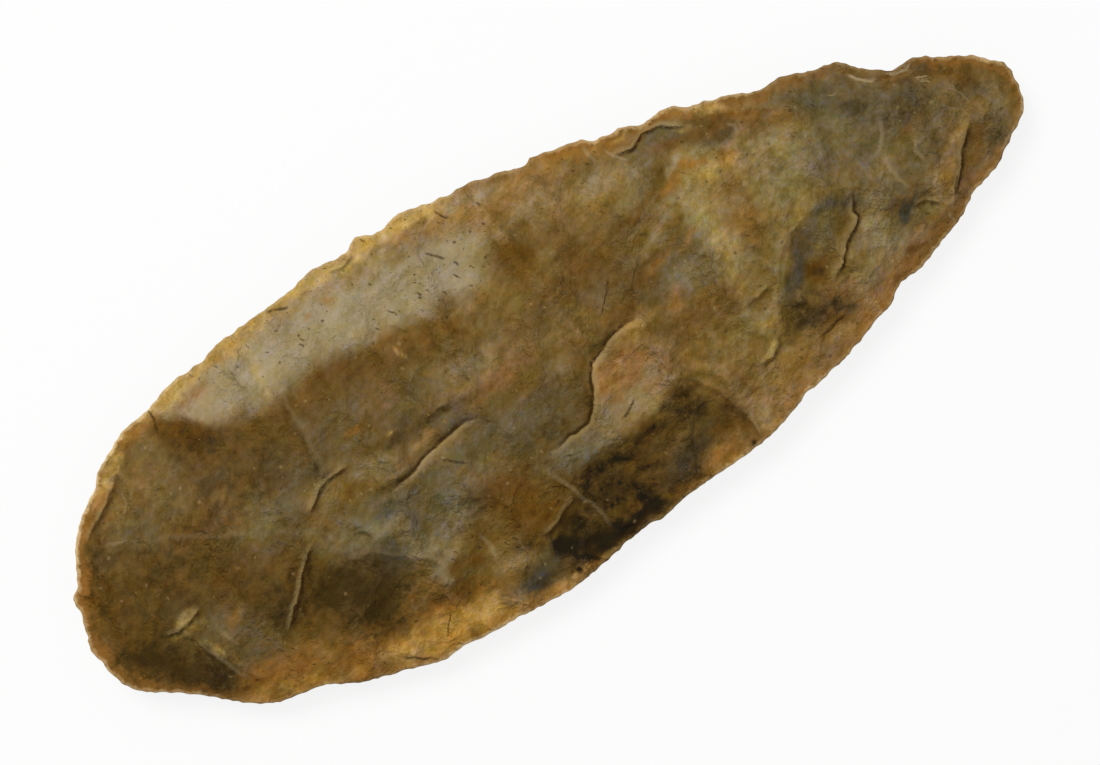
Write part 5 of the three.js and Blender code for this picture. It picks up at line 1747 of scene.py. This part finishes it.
    def _specks(self, sheet: Sheet, place: Socket, stone: Socket) -> tuple[Socket, Socket]:
        """Peppers the stone with dark specks and dashes and a few pale flecks."""
        pepper = sheet.mask("pepper")
        scattering = speck_group()
        wobble = sheet.vector("SCALE", sheet.noise(place, self.wobble).outputs["Color"], self.wobble_reach)
        place = sheet.vector("ADD", place, wobble)
        slanted = sheet.stretched(place, *self.dash_lay)
        shifted = sheet.vector("ADD", place, self.fleck_shift)
        large, small, dashes, flecks = (
            self._scatter(sheet, scattering, where, specks, pepper)
            for where, specks in (
                (place, self.large_specks),
                (place, self.small_specks),
                (slanted, self.dashes),
                (shifted, self.flecks),
            )
        )
        pits = sheet.maths("MAXIMUM", large, sheet.product(small, self.small_depth))
        pits = sheet.maths("MAXIMUM", pits, dashes)
        dark = sheet.product(pits, sheet.line(pepper, *self.speck_strength))
        stone = sheet.blend(dark, stone, linear(self.speck))
        return sheet.blend(sheet.product(flecks, self.fleck_strength), stone, linear(self.fleck_and_lip_highlight)), pits

    @staticmethod
    def _scatter(sheet: Sheet, group: Tree, place: Socket, specks: Specks, pepper: Socket) -> Socket:
        """Returns where some specks lie."""
        share = sheet.line(pepper, specks.peppered, specks.share)
        inputs = {"Place": place, "Scale": 1 / specks.cell, "Size": specks.size, "Share": share}
        return sheet.group(group, inputs)

    def _lines(self, sheet: Sheet, stone: Socket, grain: Socket) -> tuple[Socket, Socket]:
        """Draws the pale lines of the stone and the painted glints, a painted highlight on the lip of each
        ledge with dirt and painted shade at its foot, and the cracks.
        """
        broken = sheet.ramp(grain, *self.broken_range)
        wander = sheet.swing(grain, self.line_wander)
        vein_and_glint = self._stroke(sheet, "vein_and_glint", wander, self.vein_and_glint_fade)
        stone = sheet.blend(vein_and_glint, stone, linear(self.vein_and_glint))
        gap = sheet.maths("ADD", sheet.mask("ledge_gap"), wander)
        strength = sheet.mask("ledge_strength")
        # A painted highlight along the lip of each ledge
        lip_highlight = sheet.product(sheet.ramp(gap, *self.lip_highlight_rise), sheet.ramp(gap, *self.lip_highlight_fade))
        stone = sheet.blend(sheet.product(lip_highlight, strength, self.lip_highlight_strength), stone, linear(self.fleck_and_lip_highlight))
        # Dirt and painted shade in the crease at the foot of each ledge
        foot = sheet.product(sheet.ramp(gap, *self.foot_rise), sheet.ramp(gap, *self.foot_fade))
        foot = sheet.product(foot, strength, sheet.line(broken, *self.foot_breaks), self.foot_shade_and_dirt)
        crack = self._stroke(sheet, "crack", wander, self.crack_fade)
        crack = sheet.product(crack, sheet.line(broken, *self.crack_breaks), self.crack_dirt)
        shade_and_dirt = sheet.maths("MAXIMUM", foot, crack)
        return sheet.blend(shade_and_dirt, stone, linear(self.shade_and_dirt)), shade_and_dirt

    @staticmethod
    def _stroke(sheet: Sheet, name: str, wander: Socket, fade: Fade) -> Socket:
        """Returns how strongly the nearest crack shows, and likewise the nearest pale line, veins and
        painted glints alike.
        """
        away = sheet.maths("ABSOLUTE", sheet.maths("ADD", sheet.mask(f"{name}_gap"), wander))
        widths = sheet.maths("DIVIDE", away, sheet.mask(f"{name}_width"))
        return sheet.product(sheet.ramp(widths, *fade), sheet.mask(f"{name}_strength"))

    def _bumps(
        self, sheet: Sheet, place: Socket, clouds: Node, grain: Socket, pits: Socket, shade_and_dirt: Socket
    ) -> Socket:
        """Returns the normal of the finest relief: facets, grain, pits and cracks, in millimetres."""
        bend = sheet.vector("SCALE", clouds.outputs["Color"], self.facet_bend)
        bent = sheet.vector("ADD", place, bend)
        spread = {"Vector": sheet.stretched(bent, *self.facet_lay), "Scale": 1 / self.facet}
        cells = sheet.node("ShaderNodeTexVoronoi", spread, voronoi_dimensions="2D").outputs["Distance"]
        height = sheet.product(cells, cells, self.facet_height)
        for part, rise in (
            (clouds.outputs["Fac"], self.cloud_height),
            (grain, self.grain_height),
            (sheet.noise(place, self.dust).outputs["Fac"], self.dust_height),
            (pits, self.pit_height),
            (shade_and_dirt, self.shade_and_dirt_height),
        ):
            height = sheet.line(part, rise, height)
        return sheet.node("ShaderNodeBump", {"Height": height, "Strength": 1.0, "Distance": MM}).outputs[0]


@dataclass
class Blade:
    """The chert blade: one closed piece of stone with an upper face, an underside and a thin rim."""

    node: bpy.types.Object
    top: float
    lens: Lens = Lens()
    edge: Edge = Edge()
    net: Net = Net()
    finish: ChertFinish = ChertFinish()
    picture_margin: float = 0.02
    island_margin: float = 2.0
    rim_flare: float = 6.0

    def build(self) -> bpy.types.Object:
        """Builds and dresses the stone.

        Returns:
            The piece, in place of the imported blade.
        """
        edge = self.edge.nibbled(self.edge.read(self.node))
        x, y, border = self.net.lay(edge)
        skins = [Skin(face, self.lens, edge, x, y, self.top) for face in Face]
        mesh = bpy.data.meshes.new("chert_blade")
        corners, faces, plan = self._weave(skins, border)
        mesh.from_pydata(corners * MM, [], faces)
        self._unwrap(mesh, plan)
        self._carry_masks(mesh, skins)
        mesh.polygons.foreach_set("use_smooth", [True] * len(mesh.polygons))
        mesh.update()
        stone = bpy.data.objects.new("chert_blade", mesh)
        bpy.context.scene.collection.objects.link(stone)
        stone.data.materials.append(self.finish.make())
        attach(stone, "root")
        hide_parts("blade")
        LOG.info("chert_blade: %d corners, %d faces", len(mesh.vertices), len(mesh.polygons))
        return stone

    def _weave(self, skins: Sequence[Skin], border: Array) -> tuple[Array, list, Array]:
        """Joins the two faces along the rim.

        Args:
            skins: The upper face and the underside.
            border: The edge points that go with the net's border.

        Returns:
            The corners, the faces, and for each corner of each face its place on the picture
            plane, in millimetres.
        """
        upper, under = skins
        count = upper.x.size
        rim_x, rim_y = border.T
        rim = np.column_stack([rim_x, rim_y, self.lens.rim_middle(rim_x, rim_y)])
        corners = np.vstack(
            [np.column_stack([skin.x.ravel(), skin.y.ravel(), skin.z.ravel()]) for skin in skins] + [rim]
        )
        numbers = np.arange(count).reshape(upper.x.shape)
        a, b, c, d = numbers[:-1, :-1], numbers[:-1, 1:], numbers[1:, 1:], numbers[1:, :-1]
        top = np.stack([a, b, c, d], axis=-1).reshape(-1, 4)
        bottom = top[:, ::-1] + count
        ring = self.net.ring()
        after = np.roll(ring, -1)
        middle = 2 * count + np.arange(len(ring))
        middle_after = np.roll(middle, -1)
        high = np.column_stack([middle, middle_after, after, ring])
        low = np.column_stack([ring + count, after + count, middle_after, middle])
        outward = border - self.rim_flare * self.net.inset * inward_normals(border)
        plan = np.vstack([corners[: 2 * count, :2], outward])
        faces = np.vstack([top, high, bottom, low])
        islands = np.repeat([0, 1], [len(top) + len(high), len(bottom) + len(low)])
        flat = plan[faces]
        shift = self.lens.half_width + self.island_margin
        flat[..., 1] += np.where(islands == 0, shift, -shift)[:, None]
        return corners, faces.tolist(), flat.reshape(-1, 2)

    def _unwrap(self, mesh: bpy.types.Mesh, plan: Array) -> None:
        """Lays both faces flat, side by side, for the baked pictures."""
        layer = mesh.uv_layers.new(name="OFBake")
        reach = 2 * (self.lens.half_length + self.island_margin)
        places = plan / reach * (1 - self.picture_margin) + 0.5
        layer.data.foreach_set("uv", places.astype(np.float32).ravel())

    def _carry_masks(self, mesh: bpy.types.Mesh, skins: Sequence[Skin]) -> None:
        """Stores each mask of the two faces on the mesh."""
        ring = self.net.ring()
        for name, values in skins[0].masks.items():
            upper, under = values.ravel(), skins[1].masks[name].ravel()
            border = (upper[ring] + under[ring]) / 2 if name != "rim" else np.zeros(len(ring))
            layer = mesh.attributes.new(name, "FLOAT", "POINT")
            layer.data.foreach_set("value", np.concatenate([upper, under, border]).astype(np.float32))


@dataclass(frozen=True)
class Studio:
    """A plain pale floor, soft light from the upper left and the photograph's own view."""

    look_at: Point = (-1.72, -2.47)
    picture_up: Point = (0.515, 0.857)
    picture_width: float = 151.39
    lens: float = 100.0
    sensor: float = 36.0
    focus_height: float = 5.5
    lamp_azimuth: float = 104.0
    lamp_elevation: float = 58.0
    lamp_distance: float = 0.9
    lamp_size: float = 0.5
    lamp_share: float = 0.58
    sky_share: float = 0.42
    floor_reach: float = 3.0
    floor_colour: Colour = (246, 246, 245)
    floor_glow: float = 0.85
    floor_drop: float = 0.00002

    WHITE = (1, 1, 1, 1)

    def build(self) -> None:
        """Sets up the floor, the light and the camera."""
        self._floor()
        self._light()
        self._camera()

    def _floor(self) -> None:
        """Lays the floor, which shows white and keeps a soft shadow."""
        reach = self.floor_reach
        mesh = bpy.data.meshes.new("floor")
        corners = [(-reach, -reach, 0), (reach, -reach, 0), (reach, reach, 0), (-reach, reach, 0)]
        mesh.from_pydata(corners, [], [(0, 1, 2, 3)])
        floor = bpy.data.objects.new("floor", mesh)
        bpy.context.scene.collection.objects.link(floor)
        floor.location.z = -self.floor_drop
        material = bpy.data.materials.new("floor_paper")
        material.use_nodes = True
        material.node_tree.nodes.clear()
        sheet = Sheet(material.node_tree)
        paper = sheet.node("ShaderNodeBsdfDiffuse", {"Color": linear(self.floor_colour)})
        white = sheet.node("ShaderNodeEmission", {"Color": self.WHITE, "Strength": 1.0})
        share = sheet.product(self._sees_background(sheet), self.floor_glow)
        mixed = sheet.node("ShaderNodeMixShader", {0: share, 1: paper.outputs[0], 2: white.outputs[0]})
        sheet.node("ShaderNodeOutputMaterial", {"Surface": mixed.outputs[0]})
        floor.data.materials.append(material)
        floor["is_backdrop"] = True
        LOG.info("floor: %.1f m across", 2 * reach)

    @staticmethod
    def _sees_background(sheet: Sheet) -> Socket:
        """Returns 1 on rays of the camera, and on those that a surface mirrors or lets through."""
        rays = sheet.node("ShaderNodeLightPath").outputs
        passed_on = sheet.maths("MAXIMUM", rays["Is Glossy Ray"], rays["Is Transmission Ray"])
        return sheet.maths("MAXIMUM", rays["Is Camera Ray"], passed_on)

    def _light(self) -> None:
        """Hangs one broad lamp and lights the rest from an even sky."""
        turn, rise = math.radians(self.lamp_azimuth), math.radians(self.lamp_elevation)
        way = Vector((math.cos(turn) * math.cos(rise), math.sin(turn) * math.cos(rise), math.sin(rise)))
        lamp = bpy.data.lights.new("window_lamp", "AREA")
        lamp.shape = "DISK"
        lamp.size = self.lamp_size
        lamp.energy = self.lamp_share * math.pi**2 * self.lamp_distance**2 / math.sin(rise)
        holder = bpy.data.objects.new("window_lamp", lamp)
        holder.location = way * self.lamp_distance
        holder.rotation_euler = way.to_track_quat("Z", "Y").to_euler()
        bpy.context.scene.collection.objects.link(holder)
        world = bpy.data.worlds.new("sky")
        bpy.context.scene.world = world
        world.use_nodes = True
        world.node_tree.nodes.clear()
        sheet = Sheet(world.node_tree)
        seen = self._sees_background(sheet)
        strength = sheet.line(seen, 1.0 - self.sky_share, self.sky_share)
        sky = sheet.node("ShaderNodeBackground", {"Color": self.WHITE, "Strength": strength})
        sheet.node("ShaderNodeOutputWorld", {"Surface": sky.outputs[0]})
        LOG.info("light: lamp of %.1f W and sky", lamp.energy)

    def _camera(self) -> None:
        """Sets the camera straight above the blade, turned as in the photograph."""
        data = bpy.data.cameras.new("camera")
        data.lens = self.lens
        data.sensor_width = self.sensor
        camera = bpy.data.objects.new("camera", data)
        height = self.picture_width * self.lens / self.sensor + self.focus_height
        camera.location = (self.look_at[0] * MM, self.look_at[1] * MM, height * MM)
        camera.rotation_euler = (0.0, 0.0, math.atan2(-self.picture_up[0], self.picture_up[1]))
        bpy.context.scene.collection.objects.link(camera)
        bpy.context.scene.camera = camera
        bpy.context.scene.view_settings.view_transform = "Standard"
        LOG.info("camera: %.0f mm above the floor", height)


def main() -> None:
    """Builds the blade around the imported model, and the studio around the blade."""
    logging.basicConfig(level=logging.INFO, format="%(name)s: %(message)s")
    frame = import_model()
    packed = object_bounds()
    Studio().build()
    Blade(frame["nodes"]["blade"], top=packed[1].z / MM).build()


if __name__ == "__main__":
    main()
